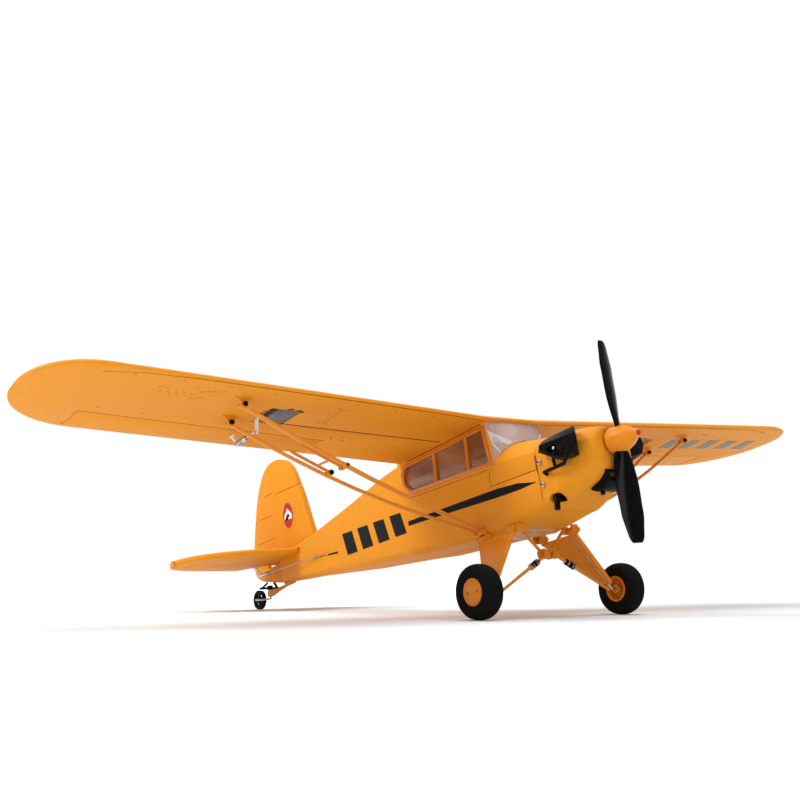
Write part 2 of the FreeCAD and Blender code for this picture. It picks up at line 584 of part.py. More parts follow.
spinner_line = [(0, -16.6), (1.1, -16.3), (2.6, -14.4), (5.6, -9.4), (7.6, -4.4), (8.4, 0.6), (8.2, 4.2)]
profile = Part.BSplineCurve()
profile.interpolate([V(x, y, 0) for x, y in spinner_line])
back_line = Part.makePolygon([V(8.2, 4.2, 0), V(0, 4.2, 0), V(0, -16.6, 0)])
spinner = Part.Face(Part.Wire([profile.toShape()] + back_line.Edges)).revolve(V(0, 0, 0), V(0, 1, 0), 360)
spinner_core = [rod((0, -4.2, 0), (0, 3.7, 0), 5.3), rod((0, -8, 0), (0, 10, 0), shaft_radius)]
blade_notch = []
for sign in (-1, 1):
    notch = Part.makeLoft([blade_section(r, 9.4, 4.2, 29) for r in (3.0, 14.0)], True, True)
    blade_notch.append(notch if sign > 0 else notch.rotated(V(0, 0, 0), V(0, 1, 0), 180))
spinner = Part.makeSolid(spinner.Shells[0]) if not spinner.Solids else spinner
spinner = spinner.cut(fused(spinner_core + blade_notch)).cut(propeller)
save("spinner", group([max(spinner.Solids, key=lambda s: s.Volume)]))

# ---- screws of the cowl: two on each side, with washers ----
screws = []
for screw_y, screw_z in ((45.0, -2.8), (45.0, -16.9)):
    washer = rod((23.9, screw_y, screw_z), (24.5, screw_y, screw_z), 1.7)
    head = rod((24.4, screw_y, screw_z), (25.3, screw_y, screw_z), 1.1)
    stem = rod((18.0, screw_y, screw_z), (24.4, screw_y, screw_z), 0.6)
    screws += both(fused([washer, head, stem]))
cowl = cowl.cut(fused(screws))
hull = hull.cut(fused(screws))
save("nose_cowl", group([cowl]))

# ---- strut brackets, lift struts and the screws in them ----
front_tab, rear_tab = (192.7, 20.2), (184.6, 49.6)       # outwards and aft, on the wing's underside
tab_drop, tab_half = 3.7, 0.8
strut_foot = {"front": (24.2, 103.6, -32.4), "rear": (24.2, 108.6, -32.2)}
strut_size = {"front": (4.6, 2.1), "rear": (3.8, 1.8)}
screw_radius = 0.7


def strut_bracket(x, y):
    discs = [rod((x + out, y, -0.7), (x + out, y, 0), radius)
             for out, radius in ((-4.2, 1.6), (0, 3.0), (4.2, 1.6))]
    base = fused(discs + [block((x - 4.2, x + 4.2), (y - 1.6, y + 1.6), (-0.7, 0))])
    web = polygon_face([(x - 4.0, y - tab_half, -0.5), (x + 4.0, y - tab_half, -0.5),
                        (x + 1.9, y - tab_half, -tab_drop - 0.4), (x - 1.9, y - tab_half, -tab_drop - 0.4)])
    lobe = rod((x, y - tab_half, -tab_drop), (x, y + tab_half, -tab_drop), 2.0)
    return fused([base, web.extrude(V(0, 2 * tab_half, 0)), lobe])


def bowed_line(top, foot, bow, count=9):
    """Points from top to foot of a strut that bows outwards and down by bow at its middle."""
    top, foot = V(*top), V(*foot)
    run = foot - top
    side = V(-run.z, 0, run.x).normalize()
    line = []
    for i in range(count):
        share = i / (count - 1)
        line.append(top + run * share + side * (bow * math.sin(math.pi * share)))
    return line


def lens_bar(line, width, depth):
    """A flattened strut along a line of points: width along y, depth along z, twelve-sided."""
    sections = []
    for centre in line:
        ring = [centre + V(0, math.cos(a) * width / 2, math.sin(a) * depth / 2)
                for a in (math.radians(30 * i) for i in range(12))]
        sections.append(Part.makePolygon(ring + ring[:1]))
    return Part.makeLoft(sections, True, True)


brackets, tab_screws, strut_tops = [], [], {}
for name, (x, y) in (("front", front_tab), ("rear", rear_tab)):
    screw_line = [(x, y - tab_half - 1.6, -tab_drop), (x, y + tab_half + 2.4, -tab_drop)]
    shank = rod(*screw_line, screw_radius)
    head = rod((x, y - tab_half - 1.6, -tab_drop), (x, y - tab_half - 0.4, -tab_drop), 1.5)
    tab_screws.append(on_wing(shank.fuse(head)))
    brackets.append(on_wing(strut_bracket(x, y).cut(shank)))
    strut_tops[name] = wing_point(x, y + tab_half + 1.4, -tab_drop)
brackets = [bracket.cut(on_wing(blank)) for bracket in brackets]
save("strut_brackets", group([shape for bracket in brackets for shape in both(bracket)]))

jury_share, jury_length, jury_lean = 0.41, 29.0, 24.0
jury_radius = 0.95
lean = math.radians(jury_lean)
jury_way = V(math.cos(lean), 0, math.sin(lean))


def along_y(point, near, far, radius):
    """A pin along y through a point, from near to far of it."""
    return rod((point.x, point.y + near, point.z), (point.x, point.y + far, point.z), radius)


foot_screws = []
for y in (102.6, 110.2):
    head = rod((25.6, y, -32.4), (26.6, y, -32.4), 1.4)
    foot_screws.append(rod((19.0, y, -32.4), (26.4, y, -32.4), screw_radius).fuse(head))


def strut_side(bow):
    """One side's pair of lift struts, its jury frame and its screws, for the left wing."""
    lines, bars = {}, []
    for name in ("front", "rear"):
        top = strut_tops[name]
        lines[name] = bowed_line((top[0] - 0.5, top[1], top[2] - 0.2), strut_foot[name], bow[name])
        eye = along_y(V(*top), -1.3, 1.3, 2.0)
        bar = lens_bar(lines[name], *strut_size[name]).fuse(eye)
        bars.append(bar.cut(fused(brackets + tab_screws)))
    foot_plate = block((23.6, 25.6), (100.6, 112.2), (-34.6, -30.0))
    pair = fused(bars + [foot_plate]).cut(hull_outer)
    pair = max(pair.Solids, key=lambda s: s.Volume)
    # the jury frame turns on two screws through the struts and is swung out beside them
    near = bowed_line(strut_tops["front"], strut_foot["front"], bow["front"], 101)[round(100 * jury_share)]
    rear_line = bowed_line(strut_tops["rear"], strut_foot["rear"], bow["rear"], 101)
    far = min(rear_line, key=lambda point: abs(point.x - near.x))
    far = V(near.x, far.y, near.z)
    first = near + V(0, strut_size["front"][0] / 2 + 1.5, 0)
    second = far - V(0, strut_size["rear"][0] / 2 + 1.3, 0)
    parts = [rod(tuple(first + jury_way * (0.34 * jury_length)),
                 tuple(second + jury_way * (0.34 * jury_length)), 0.7)]
    for foot in (first, second):
        tip = foot + jury_way * jury_length
        parts += [rod(tuple(foot + jury_way), tuple(tip), jury_radius), Part.makeSphere(jury_radius, tip),
                  along_y(foot, -0.9, 0.9, 1.8)]
    jury = fused(parts).cut(along_y(first, -5, 40, screw_radius + pin_fit))
    front_screw = along_y(first, near.y - first.y - 3.4, 1.5, screw_radius)
    front_screw = front_screw.fuse(along_y(first, 1.1, 2.2, 1.5))
    rear_screw = along_y(second, -1.5, far.y - second.y + 3.0, screw_radius)
    jury_screws = [front_screw, rear_screw.fuse(along_y(second, -2.2, -1.1, 1.5))]
    bolsters = [along_y(near, -1.6, 1.9, 1.7), along_y(far, -1.6, 1.6, 1.7)]
    pair = fused([pair] + bolsters).cut(fused(jury_screws)).cut(fused(foot_screws))
    return pair, jury, foot_screws + jury_screws


# the struts are slack while the jury frames hang free, and they bow a little differently on each side
left_pair, left_jury, left_screws = strut_side({"front": 6.8, "rear": 6.4})
right_pair, right_jury, right_screws = strut_side({"front": 3.6, "rear": 6.0})
save("jury_strut_left", left_jury)
save("jury_strut_right", mirrored(right_jury))
save("lift_struts", group([left_pair, mirrored(right_pair)]))
strut_screws = left_screws + [mirrored(screw) for screw in right_screws]
hull = hull.cut(fused([shape for screw in foot_screws for shape in both(screw)]))

# ---- tailplane, elevator, fin and rudder ----
stab_low, stab_high = stab_z - stab_thickness / 2, stab_z + stab_thickness / 2
stab_half, stab_reach = 91.0, 50.0
hinge_nose = stab_thickness / 2
lead_edge = Part.Ellipse(V(0, elevator_hinge_y, stab_low), stab_half, stab_reach)
front_arc = Part.ArcOfEllipse(lead_edge, math.pi, 2 * math.pi).toShape()
closing = Part.makeLine(V(stab_half, elevator_hinge_y, stab_low), V(-stab_half, elevator_hinge_y, stab_low))
stab = Part.Face(Part.Wire([front_arc, closing])).extrude(V(0, 0, stab_thickness))
round_edges = [edge for edge in stab.Edges if edge.Curve.TypeId == "Part::GeomEllipse"]
stab = stab.makeFillet(1.9, round_edges)
stab_groove = rod((-stab_half - 2, elevator_hinge_y, stab_z), (stab_half + 2, elevator_hinge_y, stab_z),
                  hinge_nose + panel_gap)
stab = stab.cut(stab_groove)
save("stabilizer", group([stab]))

trail = [(stab_half, elevator_hinge_y), (89.6, 396.0), (84.6, 404.0), (73.0, 410.4), (54.0, 413.8),
         (34.0, 414.8), (18.5, 414.9)]
trail_curve = Part.BSplineCurve()
trail_curve.interpolate([V(x, y, stab_low) for x, y in trail])
inner_corner = V(7.5, elevator_hinge_y, stab_low)
edges = [trail_curve.toShape(), Part.makeLine(V(18.5, 414.9, stab_low), inner_corner),
         Part.makeLine(inner_corner, V(stab_half, elevator_hinge_y, stab_low))]
elevator_blank = Part.Face(Part.Wire(edges)).extrude(V(0, 0, stab_thickness))
taper = side_prism([(elevator_hinge_y, stab_low), (elevator_hinge_y, stab_high), (420, stab_z + 0.7),
                    (420, stab_z - 0.7)], (0, 100))
nose = rod((7.5, elevator_hinge_y, stab_z), (stab_half - 1.5, elevator_hinge_y, stab_z), hinge_nose)
elevator_half = fused([elevator_blank.common(taper), nose])
joiner = rod((-20, elevator_hinge_y, stab_z), (20, elevator_hinge_y, stab_z), 1.0)
elevator_half = elevator_half.cut(joiner)
save("elevator", group(both(elevator_half) + [joiner]))

fin_half = rudder_thickness / 2
gap_z = 59.6
fin_curve = Part.BSplineCurve()
fin_line = ((319.5, 8.0), (323.5, 19.0), (327.6, 32.4), (332.4, 48.5), (336.4, gap_z))
fin_curve.interpolate([V(-fin_half, y, z) for y, z in fin_line])
post_top = rudder_head + rudder_axis * ((gap_z - rudder_head.z) / rudder_axis.z)
post_low = rudder_foot + rudder_axis * ((stab_low - rudder_foot.z) / rudder_axis.z)
fin_points = [V(-fin_half, fin_line[-1][0], gap_z), V(-fin_half, post_top.y, gap_z),
              V(-fin_half, post_low.y, stab_high),
              V(-fin_half, *fin_line[0])]
fin_edges = [fin_curve.toShape()] + [Part.makeLine(a, b) for a, b in zip(fin_points, fin_points[1:])]
fin = Part.Face(Part.Wire(fin_edges)).extrude(V(rudder_thickness, 0, 0))
post_room = rod(tuple(rudder_foot - rudder_axis * 4), tuple(rudder_head + rudder_axis * 4),
                fin_half + panel_gap)
hull_solid = hull_outer.cut(stab_seat)
fin = fin.cut(post_room).cut(hull_solid).cut(stab)
fin = max(fin.Solids, key=lambda s: s.Volume)
save("fin", fin)

rudder_curve = Part.BSplineCurve()
rudder_line = [(337.0, gap_z + swing_gap), (340.2, 68.6), (347.0, 79.4), (357.5, 86.0), (368.6, 87.6),
               (379.0, 85.4), (387.4, 79.4), (395.6, 68.6), (401.2, 57.5), (405.8, 45.0), (410.4, 30.0),
               (413.6, 18.0), (415.0, 9.0), (413.4, 2.0), (407.0, -4.2), (396.0, -7.6), (384.0, -10.4),
               (tail_post_y + 0.9, -12.9)]
rudder_curve.interpolate([V(-fin_half, y, z) for y, z in rudder_line])
axis_top = rudder_head + rudder_axis * ((gap_z + swing_gap - rudder_head.z) / rudder_axis.z)
axis_low = rudder_foot + rudder_axis * ((2.8 - rudder_foot.z) / rudder_axis.z)
corner_points = [(tail_post_y + 0.9, -12.9), (tail_post_y + 0.9, 2.8), (axis_low.y, 2.8),
                 (axis_top.y, gap_z + swing_gap), (rudder_line[0])]
rudder_edges = [rudder_curve.toShape()]
rudder_edges += [Part.makeLine(V(-fin_half, *a), V(-fin_half, *b))
                 for a, b in zip(corner_points, corner_points[1:])]
rudder = Part.Face(Part.Wire(rudder_edges)).extrude(V(rudder_thickness, 0, 0))
rudder_nose = rod(tuple(axis_low), tuple(axis_top), fin_half)
wedge = plan_prism([(-fin_half, 330), (fin_half, 330), (fin_half, 382), (0.9, 416), (-0.9, 416),
                    (-fin_half, 382)],
                   (-20, 100))
notch = block((-10, 10), (365.0, 393.0), (2.8, 10.2))
rudder = fused([rudder.common(wedge), rudder_nose]).cut(notch)
save("rudder", group([max(rudder.Solids, key=lambda s: s.Volume)]))

# ---- horns, rods, arms and servos of the tail ----
elevator_bore = rod((elevator_horn_x - 3, *elevator_hole), (elevator_horn_x + 3, *elevator_hole),
                    rod_radius + pin_fit)
elevator_horn = horn_plate((elevator_hinge_y + 7.0, stab_low), elevator_hole, 1.5, elevator_horn_x)
elevator_horn = elevator_horn.cut(elevator_bore).cut(fused(both(elevator_half)))
save("elevator_horn", group([elevator_horn]))
save("elevator_arm", servo_arm(elevator_pivot, elevator_arm_hole, (1, 0, 0)))
save("elevator_rod", pushrod(elevator_arm_hole, elevator_end, (1, 0, 0)))
horn_tip, horn_y, horn_z = rudder_hole
rudder_horn = plan_prism([(2.0, horn_y + 2.4), (2.0, horn_y + 9.0), (horn_tip - 1.6, horn_y + 1.6),
                          (horn_tip + 1.4, horn_y + 1.2), (horn_tip + 1.4, horn_y - 1.4),
                          (horn_tip - 1.4, horn_y - 1.4)], (horn_z - 0.6, horn_z + 0.6))
rudder_bore = rod(tuple(V(*rudder_hole) - rudder_axis * 3), tuple(V(*rudder_hole) + rudder_axis * 3),
                  rod_radius + pin_fit)
save("rudder_horn", group([rudder_horn.cut(rudder_bore).cut(rudder)]))
save("rudder_arm", servo_arm(rudder_arm_pivot, rudder_arm_hole, tuple(rudder_axis)))
save("rudder_rod", pushrod(rudder_arm_hole, rudder_hole, tuple(rudder_axis)))

elevator_servo_box = ((-9.4, -1.4), (193.0, 213.0), (-8.5, 8.0))
elevator_servo = fused([block(*elevator_servo_box),
                        rod((-9.4, *elevator_pivot[1:]), (-12.3, *elevator_pivot[1:]), pin_radius),
                        rod((-9.4, *elevator_pivot[1:]), (-10.3, *elevator_pivot[1:]), 2.6)])
rudder_servo = block((-3.6, 5.6), (220.0, 240.0), (-21.0, -8.0))
stem_low, boss_end, stem_end = (tuple(V(*rudder_arm_pivot) + rudder_axis * d) for d in (-4.0, -1.0, 1.0))
rudder_servo = fused([rudder_servo, rod(stem_low, stem_end, pin_radius), rod(stem_low, boss_end, 2.4)])
wing_servos = both(on_wing(aileron_servo))
save("servos", group(wing_servos + [elevator_servo, rudder_servo]))

# ---- flight battery and control board ----
battery = block((-9, 9), (67.0, 119.0), (-24.0, -12.0))
save("flight_battery", battery.makeFillet(1.6, battery.Edges))
save("control_board", fused([block((-11, 11), (126.0, 156.0), (-27.0, -25.6)),
                             block((-8, 8), (129.0, 143.0), (-25.7, -22.5)),
                             block((-9, 9), (147.0, 155.0), (-25.7, -19.5))]))

# ---- landing gear ----
pivot_x, pivot_z = 26.2, -38.0
leg_pin_radius = 0.9
lug_spans = {"front": (69.6, 71.2, 78.0, 79.6), "rear": (99.0, 100.4, 105.6, 107.0)}
lugs = []
for spans in lug_spans.values():
    for near, far in (spans[:2], spans[2:]):
        plate = block((21.0, pivot_x), (near, far), (pivot_z - 1.8, -34.8))
        lugs.append(plate.fuse(rod((pivot_x, near, pivot_z), (pivot_x, far, pivot_z), 1.8)).cut(hull_outer))
lugs = [max(lug.Solids, key=lambda s: s.Volume) for lug in lugs]
leg_pins = [rod((pivot_x, spans[0] - 0.8, pivot_z), (pivot_x, spans[3] + 0.8, pivot_z), leg_pin_radius)
            for spans in lug_spans.values()]
lugs = [lug.cut(fused(leg_pins)) for lug in lugs]

knuckle_x, knuckle_y, knuckle_z = 2.9, 75.5, -53.0
knuckles = []
for sign in (-1, 1):
    ball = rod((sign * knuckle_x, knuckle_y - 1.9, knuckle_z),
               (sign * knuckle_x, knuckle_y + 1.9, knuckle_z), 3.2)
    upper = rod((sign * knuckle_x, knuckle_y, knuckle_z), (sign * 20.0, knuckle_y, -36.0), 1.0)
    pin = rod((sign * 4.2, knuckle_y - 5.4, -54.4), (sign * 4.2, knuckle_y, -54.4), pin_radius)
    knuckles += [ball, upper, pin]
centre = fused(knuckles).cut(hull_outer)
centre_parts = [max(centre.Solids, key=lambda s: s.Volume)]
for shape in lugs + leg_pins:
    centre_parts += both(shape)
save("gear_centre_frame", group(centre_parts))

leg_foot_front, leg_foot_rear = (50.6, 72.2, -72.6), (50.6, 80.6, -71.6)
leg_top_front, leg_top_rear = (27.4, 74.4, -40.2), (27.6, 105.0, -40.2)
leg_down, leg_back = V(*leg_foot_front) - V(*leg_top_front), V(*leg_top_rear) - V(*leg_top_front)
leg_normal = leg_down.cross(leg_back).normalize()
leg_sheet = 2.4
corners = [V(*p) - leg_normal * (leg_sheet / 2)
           for p in (leg_top_front, leg_top_rear, leg_foot_rear, leg_foot_front)]
leg_halves = [polygon_face([tuple(corners[i]) for i in three]) for three in ((0, 1, 2), (0, 2, 3))]
leg_web = fused([half.extrude(leg_normal * leg_sheet) for half in leg_halves])
front_tube = rod(leg_top_front, leg_foot_front, 1.6)
wire_radius = 0.9
wire_in = V(0, 3.6, 0)
wire_top, wire_low = V(*leg_top_front) + wire_in, V(*leg_foot_front) + V(0, 2.4, 0)
axle_y, axle_z = wheel_y, wheel_z
wire_points = [tuple(wire_top), tuple(wire_low), (53.0, axle_y, axle_z), (66.2, axle_y, axle_z)]
gear_wire = bent_rod(wire_points, wire_radius)
leg_slots = []
for start, stop in ((0.10, 0.30), (0.40, 0.58), (0.68, 0.90)):
    low, high = wire_top + (wire_low - wire_top) * start, wire_top + (wire_low - wire_top) * stop
    ring = [low - V(0, 0.9, 0), low + V(0, 1.0, 0), high + V(0, 1.0, 0), high - V(0, 0.9, 0)]
    leg_slots.append(polygon_face([tuple(p - leg_normal * 3) for p in ring]).extrude(leg_normal * 2.6))
boss = rod((pivot_x, 71.5, pivot_z), (pivot_x, 77.7, pivot_z), 2.6)
rear_eye = rod((pivot_x, 100.7, pivot_z), (pivot_x, 105.3, pivot_z), 2.2)
neck_front = rod((pivot_x, 74.6, pivot_z), leg_top_front, 2.2)
neck_rear = rod((pivot_x, 103.0, pivot_z), (27.4, 103.0, -41.4), 1.8)
leg = fused([leg_web, front_tube, boss, rear_eye, neck_front, neck_rear])
bore = [rod((pivot_x, 60, pivot_z), (pivot_x, 120, pivot_z), leg_pin_radius + pin_fit)]
leg = leg.cut(fused(leg_slots + bore)).cut(gear_wire)
leg = max(leg.Solids, key=lambda s: s.Volume)
save("gear_leg_left", leg)
save("gear_leg_right", mirrored(leg))
save("gear_wire_left", gear_wire)
save("gear_wire_right", mirrored(gear_wire))

# shock struts: an eye on the knuckle's pin, a spring sleeve and a rod towards the axle
eye_x, eye_z, strut_y = 4.2, -54.4, knuckle_y - 3.7
strut_run = V(43.0, 0, -22.6)
strut_start = V(eye_x, strut_y, eye_z)
along = V(strut_run).normalize()
eye_ring = rod((eye_x, strut_y - 1.3, eye_z), (eye_x, strut_y + 1.3, eye_z), 2.3)
rod_inner = rod(tuple(strut_start), tuple(strut_start + strut_run), 1.0)
sleeve = rod(tuple(strut_start + along * 9.6), tuple(strut_start + along * 15.0), 1.5)
rings = [rod(tuple(strut_start + along * s), tuple(strut_start + along * (s + 0.6)), 1.8)
         for s in (9.2, 11.1, 13.0, 14.9)]
shock = fused([eye_ring, rod_inner, sleeve] + rings)
shock = shock.cut(rod((eye_x, strut_y - 3, eye_z), (eye_x, strut_y + 3, eye_z), pin_radius + pin_fit))
save("shock_strut_left", shock)
save("shock_strut_right", mirrored(shock))

# main wheels
hub_radius, hub_half = 8.3, 5.6
tyre_line = [(hub_radius, -5.0), (9.6, -6.5), (12.4, -7.0), (15.2, -5.4), (wheel_radius, 0.0),
             (15.2, 5.4), (12.4, 7.0), (9.6, 6.5), (hub_radius, 5.0)]
tyre_curve = Part.BSplineCurve()
tyre_curve.interpolate([V(x, r, 0) for r, x in tyre_line])
tyre_face = Part.Face(Part.Wire([tyre_curve.toShape(),
                                 Part.makeLine(V(5.0, hub_radius, 0), V(-5.0, hub_radius, 0))]))
tyre = tyre_face.revolve(V(0, 0, 0), V(1, 0, 0), 360)
hub = rod((-hub_half, 0, 0), (hub_half, 0, 0), hub_radius)
hub = hub.cut(rod((-hub_half - 1, 0, 0), (-1.0, 0, 0), 6.9)).fuse(rod((-hub_half, 0, 0), (0, 0, 0), 2.6))
hub = hub.cut(rod((-hub_half - 1, 0, 0), (hub_half - 0.9, 0, 0), wire_radius + pin_fit))
finger_holes = [rod((hub_half - 1.2, y, 0), (hub_half + 1, y, 0), 0.8) for y in (-4.2, 4.2)]
hub = hub.cut(fused(finger_holes))
for side, sign in (("left", 1), ("right", -1)):
    for node, shape in (("tyre_", tyre), ("wheel_hub_", hub)):
        placed = shape.copy() if sign > 0 else mirrored(shape)
        placed.translate(V(sign * wheel_x, wheel_y, wheel_z))
        save(node + side, group([placed]))

# ---- tail wheel ----
steer_y, steer_low, steer_high = 396.0, -20.4, -10.4
tail_wire = 0.7
bracket_line = [(357.0, -12.0), (371.0, -12.6), (371.4, -14.4), (386.0, -15.4), (394.0, -14.8),
                (398.2, -14.8), (398.2, -19.6), (394.0, -19.6), (384.0, -17.6), (372.0, -15.8),
                (360.0, -15.2)]
skid = side_prism(bracket_line, (-1.7, 1.7)).cut(hull_outer)
skid = skid.cut(block((-5, 5), (371.2, 400), (-14.2, -8)))
skid = skid.cut(rod((0, steer_y, -30), (0, steer_y, 0), tail_wire + pin_fit))
save("tailwheel_bracket", group([max(skid.Solids, key=lambda s: s.Volume)]))
crossbar = block((-9.2, 9.2), (steer_y - 1.2, steer_y + 1.2), (-13.4, -12.2))
crossbar = crossbar.fuse(rod((0, steer_y, -14.2), (0, steer_y, -10.8), 2.3))
fork_side = -3.9
fork = bent_rod([(0, steer_y, steer_high), (0, steer_y, -21.2), (fork_side, steer_y + 6.0, -21.2),
                 (fork_side, tail_wheel_y, tail_wheel_z), (3.6, tail_wheel_y, tail_wheel_z)], tail_wire)
save("tail_fork", fused([crossbar, fork]))
rim = tube((-1.6, 0, 0), (1.6, 0, 0), tail_wheel_radius, 6.1)
disc = rod((-0.8, 0, 0), (0.8, 0, 0), 6.5)
openings = [rod((-3, 0, 4.1), (3, 0, 4.1), 1.5).rotated(V(0, 0, 0), V(1, 0, 0), 90 * i + 45)
            for i in range(4)]
tail_wheel = fused([rim, disc, rod((-2.4, 0, 0), (2.4, 0, 0), 2.2)]).cut(fused(openings))
tail_wheel = tail_wheel.cut(rod((-4, 0, 0), (4, 0, 0), tail_wire + pin_fit))
tail_wheel.translate(V(0, tail_wheel_y, tail_wheel_z))
save("tail_wheel", tail_wheel)

# ---- the body shells, saved after every seat has been cut ----
half_space = block((0, 60), (0, 420), (-80, 100))
left_hull, right_hull = hull.common(half_space), hull.common(mirrored(half_space))
save("fuselage_left", group([left_hull]))
save("fuselage_right", group([right_hull]))
save("canopy_deck", group([deck]))

# ---- windshield: creased clear sheet from the deck up to the wing's nose ----
base_line = [(0.0, 77.2, 22.0), (10.0, 77.9, 20.4), (19.0, 80.4, 14.6), (24.5, 84.8, 6.6)]
top_line = [(0.0, 87.0, 37.6), (11.5, 87.2, 37.4), (20.0, 87.8, 37.2), (24.6, 88.4, 36.6)]
sheet_step = V(0, 0.5, -0.2)             # from the outer face to the inner face


def clear_sheet(*lines):
    """Rows of points for the left half, mirrored and joined by triangles into a thin closed solid."""
    outer = [[V(-x, y, z) for x, y, z in reversed(line)] + [V(*p) for p in line[1:]] for line in lines]
    inner = [[p + sheet_step - V(p.x * 0.012, 0, 0) for p in row] for row in outer]
    faces = []

    def patch(a, b, c, d):
        faces.append(Part.Face(Part.makePolygon([a, b, c, a])))
        faces.append(Part.Face(Part.makePolygon([a, c, d, a])))

    last_row, last = len(outer) - 1, len(outer[0]) - 1
    for j in range(last_row):
        for i in range(last):
            patch(outer[j][i], outer[j][i + 1], outer[j + 1][i + 1], outer[j + 1][i])
            patch(inner[j][i], inner[j][i + 1], inner[j + 1][i + 1], inner[j + 1][i])
        for i in (0, last):
            patch(outer[j][i], outer[j + 1][i], inner[j + 1][i], inner[j][i])
    for j in (0, last_row):
        for i in range(last):
            patch(outer[j][i], outer[j][i + 1], inner[j][i + 1], inner[j][i])
    solid = Part.makeSolid(Part.makeShell(faces))
    return solid if solid.Volume > 0 else solid.reversed()


windshield = clear_sheet(base_line, top_line)
windshield = windshield.cut(deck).cut(hull_outer.fuse(saddle_blank)).cut(fused(both(frame)))
save("windshield", group([max(windshield.Solids, key=lambda s: s.Volume)]))

screws += strut_screws + [shape for screw in tab_screws for shape in both(screw)]
save("screws", group(screws))
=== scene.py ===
import json
import math

import bmesh
import bpy
from mathutils import Matrix, Vector
from mathutils.bvhtree import BVHTree

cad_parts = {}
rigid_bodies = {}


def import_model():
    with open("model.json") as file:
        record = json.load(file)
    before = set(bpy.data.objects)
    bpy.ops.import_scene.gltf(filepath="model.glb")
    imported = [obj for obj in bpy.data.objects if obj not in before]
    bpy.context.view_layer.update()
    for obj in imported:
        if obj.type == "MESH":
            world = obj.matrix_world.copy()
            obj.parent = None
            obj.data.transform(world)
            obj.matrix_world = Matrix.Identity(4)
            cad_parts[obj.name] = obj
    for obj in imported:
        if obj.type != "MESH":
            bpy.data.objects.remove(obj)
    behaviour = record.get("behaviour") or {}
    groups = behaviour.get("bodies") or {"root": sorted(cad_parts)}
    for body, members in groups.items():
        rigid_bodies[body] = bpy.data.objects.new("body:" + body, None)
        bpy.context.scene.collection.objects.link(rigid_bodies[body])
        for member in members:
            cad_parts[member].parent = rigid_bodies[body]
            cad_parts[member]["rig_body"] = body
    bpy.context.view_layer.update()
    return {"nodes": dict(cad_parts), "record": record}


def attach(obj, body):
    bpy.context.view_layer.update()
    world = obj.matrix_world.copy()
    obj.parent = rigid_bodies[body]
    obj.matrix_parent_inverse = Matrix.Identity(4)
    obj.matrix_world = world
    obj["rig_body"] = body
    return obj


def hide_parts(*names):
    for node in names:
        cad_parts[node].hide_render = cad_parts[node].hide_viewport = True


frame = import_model()
nodes = frame["nodes"]
scene = bpy.context.scene

# ---- the aircraft frame, as in the CAD: x to the left wing, y aft, z up, millimetres ----
MM = 0.001
PARK = math.radians(11.0)
BALANCE_Y, PARK_HEIGHT = -196.6, 105.462
WING_LE = (84.0, 35.3)
DIHEDRAL, INCIDENCE = math.radians(2.75), math.radians(2.48)
SIDES = ((1, "left"), (-1, "right"))


def row(x, y, z):
    """Aircraft frame in millimetres to the row frame in metres."""
    c, s = math.cos(PARK), math.sin(PARK)
    return Vector((x, y * c + z * s + BALANCE_Y, -y * s + z * c + PARK_HEIGHT)) * MM


def wing(x, y, z, side):
    """Wing frame of one panel (outwards, aft, up off the flat underside) to the row frame."""
    c, s = math.cos(INCIDENCE), math.sin(INCIDENCE)
    aft, up = y * c + z * s, -y * s + z * c
    c, s = math.cos(DIHEDRAL), math.sin(DIHEDRAL)
    return row(side * (x * c - up * s), aft + WING_LE[0], x * s + up * c + WING_LE[1])


# ---- materials ----
NOISE_DETAIL, NOISE_ROUGHNESS = 3.0, 0.55
TONE_LOW, TONE_HIGH = 0.32, 0.68
BUMP_DEPTH = 0.0002
BUMP_FINENESS = 2.2


def ramp(tree, fac, stops):
    node = tree.nodes.new("ShaderNodeValToRGB")
    elements = node.color_ramp.elements
    while len(elements) < len(stops):
        elements.new(0.5)
    for element, (place, colour) in zip(elements, stops):
        element.position = place
        element.color = (*colour, 1)
    tree.links.new(fac, node.inputs["Fac"])
    return node.outputs["Color"]


def noise(tree, coords, scale, stretch=(1, 1, 1)):
    mapping = tree.nodes.new("ShaderNodeMapping")
    mapping.inputs["Scale"].default_value = stretch
    tree.links.new(coords, mapping.inputs["Vector"])
    node = tree.nodes.new("ShaderNodeTexNoise")
    node.inputs["Scale"].default_value = scale
    node.inputs["Detail"].default_value = NOISE_DETAIL
    node.inputs["Roughness"].default_value = NOISE_ROUGHNESS
    tree.links.new(mapping.outputs["Vector"], node.inputs["Vector"])
    return node.outputs["Fac"]


def cells(tree, coords, scale):
    """The rounded cells of moulded foam beads."""
    node = tree.nodes.new("ShaderNodeTexVoronoi")
    node.inputs["Scale"].default_value = scale
    tree.links.new(coords, node.inputs["Vector"])
    return node.outputs["Distance"]


